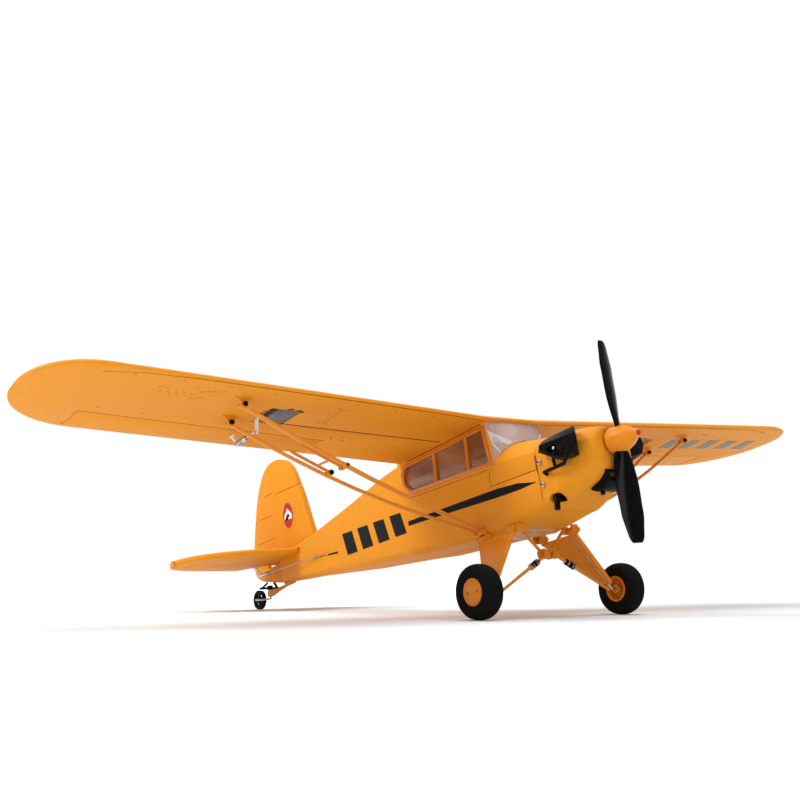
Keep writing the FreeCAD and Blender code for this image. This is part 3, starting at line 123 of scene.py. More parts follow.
def material(name, low, high, rough, metallic=0.0, grain=300.0, bump=0.0, beads=None, coat=0.0,
             alpha=1.0, stretch=(1, 1, 1), specular=0.3):
    """Two close tones mixed by noise, roughness that varies with it, and a fine bump."""
    made = bpy.data.materials.new(name)
    made.use_nodes = True
    tree = made.node_tree
    shader = tree.nodes["Principled BSDF"]
    coords = tree.nodes.new("ShaderNodeTexCoord").outputs["Object"]
    grit = noise(tree, coords, grain, stretch)
    tones = ramp(tree, grit, [(TONE_LOW, low), (TONE_HIGH, high)])
    tree.links.new(tones, shader.inputs["Base Color"])
    scale = tree.nodes.new("ShaderNodeMapRange")
    scale.inputs["To Min"].default_value, scale.inputs["To Max"].default_value = rough
    tree.links.new(grit, scale.inputs["Value"])
    tree.links.new(scale.outputs["Result"], shader.inputs["Roughness"])
    shader.inputs["Metallic"].default_value = metallic
    shader.inputs["Coat Weight"].default_value = coat
    shader.inputs["Specular IOR Level"].default_value = specular
    shader.inputs["Alpha"].default_value = alpha
    if bump:
        height = cells(tree, coords, beads) if beads else noise(tree, coords, grain * BUMP_FINENESS)
        node = tree.nodes.new("ShaderNodeBump")
        node.inputs["Strength"].default_value = bump
        node.inputs["Distance"].default_value = BUMP_DEPTH
        tree.links.new(height, node.inputs["Height"])
        tree.links.new(node.outputs["Normal"], shader.inputs["Normal"])
    return made


LOOKS = {
    "foam": material("foam_yellow", (0.73, 0.258, 0.008), (0.785, 0.288, 0.012), (0.50, 0.66),
                     grain=420, bump=0.3, beads=640, specular=0.16),
    "orange": material("plastic_orange", (0.70, 0.215, 0.007), (0.75, 0.24, 0.009), (0.30, 0.42),
                       grain=260, bump=0.08, specular=0.22),
    "frame": material("window_frame_orange", (0.55, 0.135, 0.005), (0.60, 0.155, 0.006), (0.16, 0.26),
                      grain=240, bump=0.04, coat=0.25),
    "hatch": material("hatch_orange", (0.70, 0.33, 0.11), (0.76, 0.38, 0.14), (0.35, 0.5), bump=0.08),
    "black": material("plastic_black", (0.0022, 0.0022, 0.0024), (0.0045, 0.0045, 0.005), (0.22, 0.36),
                      grain=320, bump=0.1, specular=0.07),
    "rotor": material("propeller_black", (0.0018, 0.0018, 0.0018), (0.0035, 0.0035, 0.004), (0.14, 0.24),
                      grain=200, bump=0.04, specular=0.08),
    "tyre": material("tyre_foam", (0.003, 0.003, 0.003), (0.008, 0.008, 0.008), (0.75, 0.92),
                     grain=900, bump=0.6, specular=0.08),
    "white": material("nylon_white", (0.74, 0.73, 0.70), (0.82, 0.81, 0.79), (0.35, 0.48),
                      grain=240, bump=0.1),
    "steel": material("wire_steel", (0.42, 0.42, 0.44), (0.62, 0.62, 0.64), (0.22, 0.36), metallic=1.0,
                      grain=500, bump=0.06, stretch=(1, 1, 6)),
    "motor": material("motor_alloy", (0.40, 0.41, 0.43), (0.52, 0.53, 0.55), (0.28, 0.4), metallic=1.0,
                      grain=320, bump=0.05),
    "servo": material("servo_case", (0.075, 0.078, 0.084), (0.10, 0.104, 0.11), (0.34, 0.46),
                      grain=260, bump=0.1),
    "lead": material("lead_red", (0.10, 0.010, 0.006), (0.14, 0.015, 0.009), (0.42, 0.55),
                     grain=260, bump=0.1),
    "board": material("board_green", (0.01, 0.07, 0.03), (0.02, 0.12, 0.05), (0.3, 0.45),
                      grain=500, bump=0.15),
    "battery": material("battery_wrap", (0.012, 0.03, 0.12), (0.02, 0.045, 0.17), (0.16, 0.26),
                        grain=120, bump=0.15, coat=0.4),
    "carbon": material("spar_carbon", (0.012, 0.012, 0.013), (0.04, 0.04, 0.042), (0.3, 0.45),
                       grain=500, bump=0.1, stretch=(0.15, 4, 4)),
    "ink": material("ink_black", (0.003, 0.003, 0.0032), (0.009, 0.009, 0.010), (0.30, 0.5),
                    grain=800, bump=0.1, specular=0.08),
    "grey_ink": material("ink_grey", (0.085, 0.07, 0.05), (0.12, 0.10, 0.07), (0.35, 0.5),
                         grain=500, bump=0.1),
    "red_ink": material("ink_red", (0.42, 0.010, 0.006), (0.50, 0.015, 0.008), (0.3, 0.42),
                        grain=400, bump=0.08),
    "white_ink": material("ink_white", (0.80, 0.79, 0.76), (0.86, 0.85, 0.83), (0.3, 0.45),
                          grain=400, bump=0.08),
    # painted shade: the lines and dots drawn in this are real joints, grooves, ribs and mould marks, but
    # their dark colour is painted shade; two of the lines are painted shadows under the wing root and the
    # window sill
    "seam_shade": material("seam_shadow", (0.19, 0.045, 0.003), (0.25, 0.062, 0.004), (0.6, 0.75),
                     grain=500, bump=0.1, specular=0.08),
    "scuff": material("scuffed_foam", (0.50, 0.135, 0.005), (0.60, 0.18, 0.007), (0.5, 0.7),
                      grain=900, bump=0.3, specular=0.1),
    # painted shade: shaded-foam brown for the floor of the exhaust stub's recess and for the cores inside the
    # steering springs
    "shade_dark": material("painted_shade_dark", (0.05, 0.010, 0.004), (0.09, 0.016, 0.006), (0.6, 0.75),
                     bump=0.2, specular=0.1),
    "clear": material("sheet_clear", (0.62, 0.55, 0.54), (0.72, 0.66, 0.66), (0.06, 0.14),
                      grain=55, bump=0.25, alpha=0.34, coat=0.3),
    # the windshield's folds are real; the pale colour of these bands is painted reflection
    "crease_glint": material("sheet_crease_glint", (0.80, 0.74, 0.72), (0.88, 0.84, 0.83), (0.12, 0.22),
                       grain=160, bump=0.1, alpha=0.62),
    "tint": material("sheet_tinted", (0.20, 0.062, 0.018), (0.46, 0.19, 0.08), (0.05, 0.12),
                     grain=34, bump=0.5, alpha=0.62, coat=0.3, stretch=(1.0, 0.7, 2.6)),
}
BY_SLOT = {"yellow_foam": "foam", "orange_plastic": "orange", "tyre_foam": "tyre", "black_plastic": "black",
           "white_nylon": "white", "clear_sheet": "clear", "tinted_sheet": "tint", "steel": "steel",
           "motor_metal": "motor", "servo_case": "servo", "red_lead": "lead", "green_board": "board",
           "battery_wrap": "battery", "carbon": "carbon"}
SLOT_OF = {entry["node"]: entry["material_slot"] for entry in frame["record"]["subparts"]}
BODY_OF = {name: node["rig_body"] for name, node in nodes.items()}
AIRFRAME = BODY_OF["fuselage_left"]


# ---- pieces ----
def settle(obj):
    """Apply the object's modifiers to its mesh."""
    graph = bpy.context.evaluated_depsgraph_get()
    mesh = bpy.data.meshes.new_from_object(obj.evaluated_get(graph))
    obj.modifiers.clear()
    old = obj.data
    obj.data = mesh
    bpy.data.meshes.remove(old)


def add_object(name, verts, faces):
    mesh = bpy.data.meshes.new(name)
    mesh.from_pydata([tuple(v) for v in verts], [], faces)
    mesh.validate()
    obj = bpy.data.objects.new(name, mesh)
    scene.collection.objects.link(obj)
    bm = bmesh.new()
    bm.from_mesh(mesh)
    bmesh.ops.recalc_face_normals(bm, faces=bm.faces)
    bm.to_mesh(mesh)
    bm.free()
    return obj


def dress(obj, body, slot, look, replaced=(), angle=35.0):
    """Material, smoothing and body of a finished piece."""
    obj.data.materials.clear()
    obj.data.materials.append(LOOKS[look])
    obj.data.shade_smooth()
    obj.data.set_sharp_from_angle(angle=math.radians(angle))
    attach(obj, body)
    if replaced:
        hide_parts(*replaced)


def piece(name, parts, body, slot, look, angle=35.0):
    """Several closed parts as one piece."""
    verts, faces = [], []
    for part_verts, part_faces in parts:
        start = len(verts)
        verts += part_verts
        faces += [[start + i for i in face] for face in part_faces]
    dress(add_object(name, verts, faces), body, slot, look, (), angle)


def loose_parts(bm):
    """The vertices of each separate solid of a mesh."""
    left = set(bm.verts)
    while left:
        part, queue = set(), [left.pop()]
        while queue:
            vert = queue.pop()
            part.add(vert)
            for edge in vert.link_edges:
                other = edge.other_vert(vert)
                if other in left:
                    left.remove(other)
                    queue.append(other)
        yield part


# ---- the CAD pieces, with their flat facets merged and their edges rounded ----
WELD = 0.00001
FLAT = math.radians(0.6)
SHARP = math.radians(30.0)
EDGE_ROWS = 2
PLAIN_EDGE = 0.15


def refined(node, look=None, edge=PLAIN_EDGE, keep=None, suffix="fine"):
    """A piece with the node's shape; keep chooses among its separate solids by their middle."""
    bm = bmesh.new()
    bm.from_mesh(nodes[node].data)
    bmesh.ops.remove_doubles(bm, verts=bm.verts, dist=WELD)
    if keep:
        for part in list(loose_parts(bm)):
            middle = sum((vert.co for vert in part), Vector()) / len(part)
            if not keep(middle):
                bmesh.ops.delete(bm, geom=list(part), context="VERTS")
    bmesh.ops.dissolve_limit(bm, angle_limit=FLAT, verts=bm.verts, edges=bm.edges)
    mesh = bpy.data.meshes.new(f"{node}_{suffix}")
    bm.to_mesh(mesh)
    bm.free()
    obj = bpy.data.objects.new(f"{node}_{suffix}", mesh)
    scene.collection.objects.link(obj)
    bevel = obj.modifiers.new("edge", "BEVEL")
    bevel.width = edge * MM
    bevel.segments = EDGE_ROWS
    bevel.limit_method = "ANGLE"
    bevel.angle_limit = SHARP
    bevel.use_clamp_overlap = True
    settle(obj)
    slot = SLOT_OF[node]
    dress(obj, BODY_OF[node], slot, look or BY_SLOT[slot], (node,))


LOOK_AND_EDGE = {
    "fuselage_left": ("foam", 0.4), "fuselage_right": ("foam", 0.4), "nose_cowl": ("foam", 0.4),
    "canopy_deck": ("foam", 0.3), "wing_left": ("foam", 0.3), "wing_right": ("foam", 0.3),
    "aileron_left": ("foam", 0.3), "aileron_right": ("foam", 0.3), "window_frames": ("frame", 0.2),
    "battery_hatch": ("hatch", 0.15), "propeller": ("rotor", 0.15),
}
COWL_END = row(0, 60.0, 0).y
BODY_HALF = 0.03


def is_cowl_screw(middle):
    return middle.y < COWL_END


def is_foot_screw(middle):
    return middle.y >= COWL_END and abs(middle.x) < BODY_HALF


def is_strut_screw(middle):
    return middle.y >= COWL_END and abs(middle.x) >= BODY_HALF


for name in nodes:
    if name == "screws":
        refined(name, "steel", keep=is_cowl_screw, suffix="cowl")
        refined(name, "orange", keep=is_foot_screw, suffix="foot")
        refined(name, "black", keep=is_strut_screw, suffix="strut")
    else:
        refined(name, *LOOK_AND_EDGE.get(name, (None, PLAIN_EDGE)))


# ---- places on the surfaces, for the thin solids that are laid on them ----
OUTSIDE = 90.0


def skin(*names):
    verts, faces = [], []
    for name in names:
        obj = nodes[name]
        start = len(verts)
        verts += [obj.matrix_world @ v.co for v in obj.data.vertices]
        faces += [[start + i for i in face.vertices] for face in obj.data.polygons]
    return BVHTree.FromPolygons(verts, faces)


def cast(tree, start, way):
    """The skin's point and outward normal where a ray meets it, or the nearest ones."""
    point, normal, _, _ = tree.ray_cast(start, way.normalized())
    if point is None:
        point, normal, _, _ = tree.find_nearest(start)
    return point, (normal if normal.dot(way) < 0 else -normal)


HULL = {side: skin("fuselage_" + label, "nose_cowl", "canopy_deck") for side, label in SIDES}
WING = {side: skin("wing_" + label, "aileron_" + label) for side, label in SIDES}
TAIL = skin("fin", "rudder")
PLANE = skin("stabilizer", "elevator")
SCREEN = skin("windshield")


def on_hull(side):
    return lambda y, z: cast(HULL[side], row(side * OUTSIDE, y, z), Vector((-side, 0, 0)))


def on_tail(side):
    return lambda y, z: cast(TAIL, row(side * OUTSIDE, y, z), Vector((-side, 0, 0)))


def under_wing(side):
    def place(x, y):
        start = wing(x, y, -30, side)
        return cast(WING[side], start, wing(x, y, 0, side) - start)
    return place


def under_tail(x, y):
    start = row(x, y, -20)
    return cast(PLANE, start, row(x, y, 0) - start)


def on_screen(x, z):
    start = row(x, 20, z + 16)
    return cast(SCREEN, start, row(x, 70, z) - start)


# ---- flat outlines, and the thin solids made from them ----
CUT_ROUNDS = 6


def lay(outline, place, step=6.0, height=0.1, sink=0.12):
    """A thin solid with a flat outline, laid on the surface that place gives."""
    bm = bmesh.new()
    face = bm.faces.new([bm.verts.new((u, v, 0)) for u, v in outline])
    bmesh.ops.triangulate(bm, faces=[face])
    for _ in range(CUT_ROUNDS):
        long = [edge for edge in bm.edges if edge.calc_length() > step]
        if not long:
            break
        bmesh.ops.subdivide_edges(bm, edges=long, cuts=1)
        bmesh.ops.triangulate(bm, faces=bm.faces[:])
    bm.verts.index_update()
    spots = [place(vert.co.x, vert.co.y) for vert in bm.verts]
    count = len(spots)
    verts = [point + normal * (height * MM) for point, normal in spots]
    verts += [point - normal * (sink * MM) for point, normal in spots]
    faces = [[vert.index for vert in face.verts] for face in bm.faces]
    faces += [[count + i for i in reversed(face)] for face in faces]
    for edge in bm.edges:
        if len(edge.link_faces) == 1:
            i, j = edge.verts[0].index, edge.verts[1].index
            faces.append([i, j, count + j, count + i])
    bm.free()
    return verts, faces


def stroke(points, width):
    """The outline of a line of some width through flat points."""
    left, right = [], []
    for i, (u, v) in enumerate(points):
        before, after = points[max(i - 1, 0)], points[min(i + 1, len(points) - 1)]
        du, dv = after[0] - before[0], after[1] - before[1]
        size = math.hypot(du, dv)
        nu, nv = -dv / size * width / 2, du / size * width / 2
        left.append((u + nu, v + nv))
        right.append((u - nu, v - nv))
    return left + right[::-1]


def turns(count):
    return [2 * math.pi * i / count for i in range(count)]


def dot(u, v, radius, count=10):
    return [(u + radius * math.cos(turn), v + radius * math.sin(turn)) for turn in turns(count)]


# ---- marks, joint lines and painted shadow lines on the sides of the fuselage and the fin: (y, z) outlines ----
STRIPE = [(176.9, -8.6), (120, -8.9), (85, -9.2), (66, -10.5), (49.9, -13.9), (66, -14.8), (85, -14.7),
          (120, -13.5), (177.2, -11.7)]
STRIPE_TAIL = [(276.0, -7.9), (317.4, -4.4), (317.4, -4.9), (276.3, -9.4)]
BAR_STARTS = (183.0, 205.5, 228.0, 250.5)
BAR_ORIGIN = 181
BAR_BOTTOM, BOTTOM_CLIMB = -16.0, 0.026
BAR_TOP, TOP_CLIMB = -0.6, 0.042
COWL_LINE = [(47.3, z) for z in (14.0, 10, 6, 2, -2, -6, -10, -14, -18, -22, -25.5)]
DECK_LINE = [(48.8, -6.6), (60, -6.6), (75, -6.5), (90.4, -6.4), (90.0, -2.0), (89.6, 3.4)]
# painted shadows: the dark line under the ledge of the window frame, and the one under the wing root
SILL_SHADOW = [(88.5, 4.6), (120, 5.2), (166, 6.2), (172, 7.6)]
WING_ROOT_SHADOW = [(91.0, 35.1), (130, 33.4), (171, 31.7)]
BODY_SEAMS_AND_SHADOWS = ((COWL_LINE, 0.5, 0.04), (DECK_LINE, 0.4, 0.04),
              (SILL_SHADOW, 0.35, 0.03), (WING_ROOT_SHADOW, 0.8, 0.04))
RUDDER_RIBS = (((387.0, 62.0), (375.0, 62.2)), ((398.0, 44.3), (378.5, 44.3)), ((405.8, 24.8), (379.8, 25.3)))
BADGE_AT, BADGE_HALF, BADGE_PINCH = (355.0, 38.6), (7.6, 10.6), 0.18
CHEVRON = [(349.6, 35.0), (355.0, 40.4), (360.4, 35.0), (360.4, 38.8), (355.0, 44.4), (349.6, 38.8)]


def body_bar(start):
    """One slanted bar of the row that climbs a little towards the tail."""
    low = BAR_BOTTOM + (start - BAR_ORIGIN) * BOTTOM_CLIMB
    high = BAR_TOP + (start - BAR_ORIGIN) * TOP_CLIMB
    return [(start - 3.0, low), (start + 11.5, low + 0.4), (start + 16.5, high + 0.8), (start + 2.0, high)]


def badge():
    """An oval with slightly pinched sides."""
    return [(BADGE_AT[0] + BADGE_HALF[0] * math.cos(t) * (1 - BADGE_PINCH * abs(math.sin(t))),
             BADGE_AT[1] + BADGE_HALF[1] * math.sin(t)) for t in turns(16)]


def body_marks(side, label):
    place = on_hull(side)
    outlines = [STRIPE, STRIPE_TAIL] + [body_bar(start) for start in BAR_STARTS]
    piece("stripe_" + label, [lay(outline, place) for outline in outlines], AIRFRAME, "black_plastic", "ink")
    # the cowl and deck joint lines, with the painted shadows under the sill and the wing root
    seams_and_shadows = [lay(stroke(line, width), place, height=height) for line, width, height in BODY_SEAMS_AND_SHADOWS]
    piece("body_seams_and_shadows_" + label, seams_and_shadows, AIRFRAME, "yellow_foam", "seam_shade")


def tail_marks(side, label):
    place = on_tail(side)
    ribs = [lay(stroke(rib, 0.4), place, height=0.04) for rib in RUDDER_RIBS]
    piece("rudder_ribs_" + label, ribs, BODY_OF["rudder"], "yellow_foam", "seam_shade")
    piece("fin_badge_" + label, [lay(badge(), place)], BODY_OF["fin"], "red_lead", "red_ink")
    chevron = lay(CHEVRON, place, height=0.2)
    piece("fin_chevron_" + label, [chevron], BODY_OF["fin"], "white_nylon", "white_ink")


for side, label in SIDES:
    body_marks(side, label)
    tail_marks(side, label)

# ---- the underside of the wings and the tail: (x, y) outlines ----
MOULD_LINE = [(26, 3.4), (60, 2.6), (110, 2.4), (170, 2.4), (230, 2.6), (262, 4.6), (284, 10.0)]
HINGE_LINE = [(104.5, 69.0), (150, 69.0), (210, 69.0), (273, 69.0), (273, 90.5)]
WING_LINES = ((MOULD_LINE, 0.5), (HINGE_LINE, 0.55))
EJECTOR_DOTS = 9
SCUFFS = (
    [(124.0, 40.3), (124.8, 30.0), (125.8, 17.0)], [(120.6, 41.2), (124.2, 40.0), (128.0, 41.4)],
    [(121.6, 16.0), (125.2, 17.4), (130.0, 15.4)], [(107.4, 73.0), (110.9, 71.8), (114.6, 73.6)],
    [(104.0, 60.6), (101.0, 66.8)], [(92.0, 65.0), (97.5, 63.8)],
)
SCRATCHES = 22
SCRATCH_AT, SCRATCH_FIELD = (206.0, 14.0), (41.0, 16.0)
SPREAD_U, SPREAD_V, TURN_STEP = 0.618, 0.414, 2.4
POCKET = [(170.6, 37.0), (167.0, 33.0), (168.4, 30.6), (162.6, 28.8), (161.8, 25.4), (159.0, 26.6),
          (156.0, 24.6), (153.5, 26.8), (149.6, 25.6), (146.4, 27.4), (146.4, 29.2), (169.4, 29.2),
          (169.6, 44.0), (171.4, 43.0)]
WING_BAR_STARTS = (188, 211, 234, 257, 280)
TAIL_DOTS = ((26, 371), (44, 374), (62, 380), (36, 384), (54, 385), (72, 385.2))


def scratch(i):
    """One of the short bent scratches, spread evenly over their field."""
    u = SCRATCH_AT[0] + SCRATCH_FIELD[0] * ((i * SPREAD_U) % 1.0)
    v = SCRATCH_AT[1] + SCRATCH_FIELD[1] * ((i * SPREAD_V) % 1.0)
    turn = i * TURN_STEP
    bend = (u + 2.2 * math.cos(turn), v + 1.8 * math.sin(turn))
    return [(u, v), bend, (u + 3.4 * math.cos(turn + 0.9), v + 2.6)]


def wing_marks(side, label):
    """Mould line, aileron hinge line, two uneven rows of dots, scuffs and the tape over the servo pocket."""
    place = under_wing(side)
    body = BODY_OF["wing_" + label]
    lines = [lay(stroke(line, width), place, height=0.04) for line, width in WING_LINES]
    for i in range(EJECTOR_DOTS):
        lines.append(lay(dot(34 + 29.0 * i, 7.0 + 0.6 * (i % 3), 0.55), place, height=0.04))
        lines.append(lay(dot(40 + 28.0 * i, 60.0 + 0.8 * (i % 2), 0.5), place, height=0.04))
    piece("wing_lines_" + label, lines, body, "yellow_foam", "seam_shade")
    scuffs = [lay(stroke(line, 0.7), place, height=0.05) for line in SCUFFS]
    scuffs += [lay(stroke(scratch(i), 0.4), place, height=0.04) for i in range(SCRATCHES)]
    piece("wing_scuffs_" + label, scuffs, body, "yellow_foam", "scuff")
    piece("pocket_tape_" + label, [lay(POCKET, place, height=0.08)], body, "black_plastic", "ink")


def wing_bar(x):
    return [(x + 3.0, 29.0), (x + 15.0, 29.0), (x + 20.0, 49.0), (x + 8.0, 49.0)]


for side, label in SIDES:
    wing_marks(side, label)
wing_bars = [lay(wing_bar(x), under_wing(1)) for x in WING_BAR_STARTS]
piece("wing_bars_left", wing_bars, AIRFRAME, "black_plastic", "grey_ink")
dots = [lay(dot(side * x, y, 0.55), under_tail, height=0.05) for side in (-1, 1) for x, y in TAIL_DOTS]
piece("tail_dots", dots, BODY_OF["stabilizer"], "yellow_foam", "seam_shade")


# ---- fold lines of the windshield, drawn pale as painted reflection along the real folds: (x, z) outlines ----
def screen_folds(side):
    corner = [(side * 24.0, 35.4), (side * 23.2, 35.9), (side * 10.2, 21.4), (side * 12.8, 20.0)]
    post = stroke([(side * 23.8, 34.8), (side * 21.6, 25.0), (side * 19.4, 15.6)], 0.9)
    return [lay(outline, on_screen, step=2.5, height=0.12, sink=0.05) for outline in (corner, post)]


piece("windshield_folds", screen_folds(1) + screen_folds(-1), BODY_OF["windshield"], "clear_sheet", "crease_glint")


# ---- turned details ----
def mirrored(side, point):
    """A point or direction of the left side, on the side asked for."""
    return (side * point[0], *point[1:])


def around(axis, helper):
    """Two directions square to an axis and to each other."""
    side = axis.cross(helper).normalized()
    return side, axis.cross(side)


def tube_faces(rows, count):
    """The faces of a closed tube whose points come in rows of count."""
    faces = []
    for j in range(rows - 1):
        for i in range(count):
            k = (i + 1) % count
            faces.append([j * count + i, j * count + k, (j + 1) * count + k, (j + 1) * count + i])
    faces.append(list(range(count))[::-1])
    faces.append([(rows - 1) * count + i for i in range(count)])
    return faces


def lathe(profile, origin, axis, count=28):
    """A closed turned part: (radius, distance) along an axis, in the aircraft frame."""
    axis = Vector(axis).normalized()
    side, other = around(axis, Vector((0, 0, 1)) if abs(axis.z) < 0.9 else Vector((1, 0, 0)))
    verts = []
    for radius, along in profile:
        for turn in turns(count):
            out = (side * math.cos(turn) + other * math.sin(turn)) * max(radius, 0.01)
            verts.append(row(*(Vector(origin) + axis * along + out)))
    return verts, tube_faces(len(profile), count)


def coil(start, end, radius, wire, windings, sides=6, per_turn=12):
    """A closed spring wire around the line from start to end, in the aircraft frame."""
    axis = (end - start).normalized()
    side, other = around(axis, Vector((0, 1, 0)) if abs(axis.y) < 0.9 else Vector((1, 0, 0)))
    steps = windings * per_turn
    verts = []
    for j in range(steps + 1):
        turn = 2 * math.pi * j / per_turn
        out = side * math.cos(turn) + other * math.sin(turn)
        middle = start + (end - start) * (j / steps) + out * radius
        for bend in turns(sides):
            verts.append(row(*(middle + (out * math.cos(bend) + axis * math.sin(bend)) * wire)))
    return verts, tube_faces(steps + 1, sides)


# the painted tip of the spinner
SPINNER_TIP = [(0, -16.9), (0.9, -16.75), (1.6, -16.2), (1.9, -15.5), (1.2, -15.2), (0, -15.2)]
piece("spinner_tip", [lathe(SPINNER_TIP, (0, 0, 0), (0, 1, 0))], BODY_OF["spinner"], "red_lead", "red_ink")

# the drive sockets of the cowl screws, drawn as black discs of painted shade, the engines' own screws, and a
# disc of painted shade on the floor of the exhaust stub's recess in the right side; its left twin lies unseen
# inside the cowl
SOCKET = [(0, 0.3), (0.62, 0.3), (0.62, 0.0), (0, 0.0)]
SOCKET_X, SOCKET_Y, SOCKET_HEIGHTS = 25.25, 45.0, (-2.8, -16.9)
sockets = [lathe(SOCKET, mirrored(side, (SOCKET_X, SOCKET_Y, z)), (side, 0, 0))
           for side in (1, -1) for z in SOCKET_HEIGHTS]
piece("cowl_screw_sockets", sockets, AIRFRAME, "black_plastic", "black")
SCREW_HEAD = [(0, 0.5), (0.55, 0.42), (0.95, 0.1), (0.95, -0.3), (0, -0.3)]
ENGINE_SCREW_AT = (29.2, 26.4, 0.8)
heads = [lathe(SCREW_HEAD, mirrored(side, ENGINE_SCREW_AT), (side, 0, 0)) for side in (1, -1)]
piece("engine_screws", heads, AIRFRAME, "steel", "steel")
RECESS_FLOOR = [(0, 0.3), (3.4, 0.3), (3.4, -0.3), (0, -0.3)]
RECESS_AT = (15.6, 37.1, -26.8)
backs = [lathe(RECESS_FLOOR, mirrored(side, RECESS_AT), (side, 0, 0)) for side in (1, -1)]
piece("stub_recess_backs", backs, AIRFRAME, "black_plastic", "shade_dark")

# the ribbed spring sleeve of each shock strut, and its steel rings
SLEEVE = [(1.0, 8.8), (1.7, 8.9), (1.95, 9.2), (1.95, 10.0), (1.75, 10.2)]
for rib in (10.9, 12.1, 13.3):
    SLEEVE += [(1.75, rib - 0.35), (2.0, rib - 0.15), (2.0, rib + 0.35), (1.75, rib + 0.55)]
SLEEVE += [(1.75, 14.4), (1.95, 14.6), (1.95, 15.6), (1.7, 15.9), (1.0, 16.0)]
RINGS_AT = (10.3, 14.3, 16.1)
STRUT_TOP, STRUT_WAY = (4.2, 71.8, -54.4), (43.0, 0, -22.6)


def ring(t):
    return [(1.2, t), (2.1, t + 0.05), (2.1, t + 0.5), (1.2, t + 0.55)]


for side, label in SIDES:
    body = BODY_OF["shock_strut_" + label]
    start, way = mirrored(side, STRUT_TOP), mirrored(side, STRUT_WAY)
    piece("spring_sleeve_" + label, [lathe(SLEEVE, start, way)], body, "black_plastic", "black", 25)
    rings = [lathe(ring(t), start, way) for t in RINGS_AT]
    piece("spring_rings_" + label, rings, body, "steel", "steel", 25)

# the tail fork's cross bar on its hub, and the two steering springs with a core in each
FORK = BODY_OF["tail_fork"]
BAR_HALF = 9.5
BAR_SECTION = [(394.5, -12.4), (394.8, -12.05), (397.2, -12.05), (397.5, -12.4), (397.5, -13.2),
               (397.2, -13.55), (394.8, -13.55), (394.5, -13.2)]
HUB = [(0.6, -3.7), (2.2, -3.6), (2.45, -3.3), (2.45, -0.6), (2.2, -0.2), (0.6, -0.1)]
SPRING_LOW, SPRING_HIGH = (6.9, 396.0, -12.3), (3.0, 393.6, -8.6)
SPRING_RADIUS, SPRING_WIRE, SPRING_TURNS, CORE_RADIUS = 0.85, 0.26, 7, 0.55

bar = [row(x, y, z) for x in (-BAR_HALF, BAR_HALF) for y, z in BAR_SECTION]
hub = lathe(HUB, (0, 396.0, -10.6), (0, 0, 1))
piece("steering_bar", [(bar, tube_faces(2, len(BAR_SECTION))), hub], FORK, "black_plastic", "black", 25)
for side, label in SIDES:
    low, high = Vector(mirrored(side, SPRING_LOW)), Vector(mirrored(side, SPRING_HIGH))
    spring = coil(low, high, SPRING_RADIUS, SPRING_WIRE, SPRING_TURNS)
    piece("steering_spring_" + label, [spring], FORK, "steel", "ink", 60)
    length = (high - low).length
    core = [(0, 0), (CORE_RADIUS, 0), (CORE_RADIUS, length), (0, length)]
    # painted shade: the orange core is drawn in the shade brown it shows deep inside the coil
    piece("steering_core_" + label, [lathe(core, low, high - low, 12)], FORK, "orange_plastic", "shade_dark")

# ---- the paper floor, which glows more and more away from the object ----
FLOOR_HALF = 6
GLOW_FROM, GLOW_TO = 0.30, 1.1
GLOW_NEAR, GLOW_FAR = 0.04, 1.0
corners = [(-FLOOR_HALF, -FLOOR_HALF, 0), (FLOOR_HALF, -FLOOR_HALF, 0), (FLOOR_HALF, FLOOR_HALF, 0),
           (-FLOOR_HALF, FLOOR_HALF, 0)]
floor = add_object("floor", corners, [(0, 1, 2, 3)])
paper = material("floor_paper", (0.80, 0.85, 0.88), (0.82, 0.87, 0.90), (0.7, 0.8), grain=30, specular=0.05)
tree = paper.node_tree
reach = tree.nodes.new("ShaderNodeVectorMath")
reach.operation = "LENGTH"
tree.links.new(tree.nodes.new("ShaderNodeTexCoord").outputs["Object"], reach.inputs[0])
glow = tree.nodes.new("ShaderNodeMapRange")
glow.interpolation_type = "SMOOTHSTEP"
glow.inputs["From Min"].default_value, glow.inputs["From Max"].default_value = GLOW_FROM, GLOW_TO
glow.inputs["To Min"].default_value, glow.inputs["To Max"].default_value = GLOW_NEAR, GLOW_FAR
tree.links.new(reach.outputs["Value"], glow.inputs["Value"])
shader = tree.nodes["Principled BSDF"]
shader.inputs["Emission Color"].default_value = (1, 1, 1, 1)
tree.links.new(glow.outputs["Result"], shader.inputs["Emission Strength"])
floor.data.materials.append(paper)

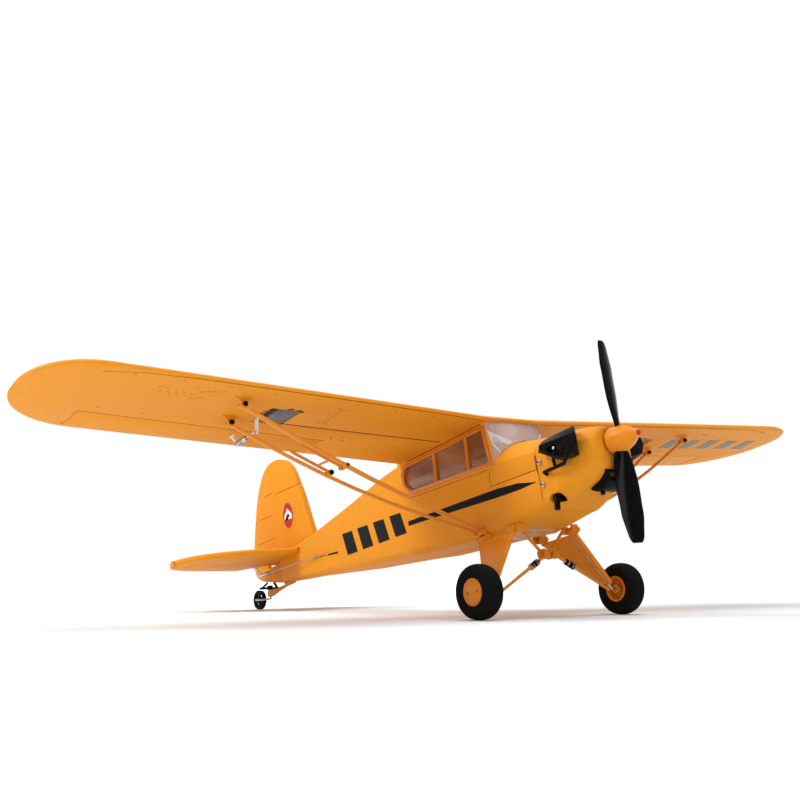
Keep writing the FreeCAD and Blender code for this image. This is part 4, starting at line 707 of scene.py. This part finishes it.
# ---- the world: a bright wall on the far side of the object, a dimmer room on the near side ----
WALL_WAY = (0.617, 0.787, 0.0)
ROOM, WALL = (0.45, (0.36, 0.36, 0.36)), (0.84, (1.0, 1.0, 1.0))
world = bpy.data.worlds.new("studio")
scene.world = world
world.use_nodes = True
tree = world.node_tree
along = tree.nodes.new("ShaderNodeVectorMath")
along.operation = "DOT_PRODUCT"
along.inputs[1].default_value = WALL_WAY
tree.links.new(tree.nodes.new("ShaderNodeTexCoord").outputs["Generated"], along.inputs[0])
tree.links.new(ramp(tree, along.outputs["Value"], [ROOM, WALL]), tree.nodes["Background"].inputs["Color"])
tree.nodes["Background"].inputs["Strength"].default_value = 1.0


# ---- lights ----
def softbox(name, place, target, size, energy):
    data = bpy.data.lights.new(name, "AREA")
    data.shape, data.size, data.size_y = "RECTANGLE", size[0], size[1]
    data.energy = energy
    obj = bpy.data.objects.new(name, data)
    scene.collection.objects.link(obj)
    obj.location = place
    obj.rotation_euler = (Vector(target) - Vector(place)).to_track_quat("-Z", "Y").to_euler()


softbox("light_top", (0.1, -0.1, 1.5), (0, 0, 0), (1.4, 1.4), 15.0)
softbox("light_key", (-1.0, 0.45, 1.05), (0, 0.1, 0.08), (0.7, 0.6), 13.0)
softbox("light_front", (-0.35, -1.5, 0.55), (0, -0.1, 0.1), (0.5, 0.4), 2.5)

# ---- camera ----
CAMERA_AT = (-0.5727, -0.7155, 0.0277)
AZIMUTH, ELEVATION, ROLL = math.radians(-38.13), math.radians(-7.71), math.radians(-0.68)
SENSOR, LENS, NEAR = 36.0, 57.84, 0.01
camera = bpy.data.objects.new("camera", bpy.data.cameras.new("camera"))
scene.collection.objects.link(camera)
camera.data.sensor_width = SENSOR
camera.data.lens = LENS
camera.data.clip_start = NEAR
back = Vector((math.sin(AZIMUTH) * math.cos(ELEVATION), -math.cos(AZIMUTH) * math.cos(ELEVATION),
               math.sin(ELEVATION)))
right = (-back).cross(Vector((0, 0, 1))).normalized()
up = right.cross(-back)
rolled_right = right * math.cos(ROLL) + up * math.sin(ROLL)
rolled_up = up * math.cos(ROLL) - right * math.sin(ROLL)
camera.matrix_world = Matrix((rolled_right, rolled_up, back)).transposed().to_4x4()
camera.location = CAMERA_AT
scene.camera = camera
scene.view_settings.view_transform = "Standard"
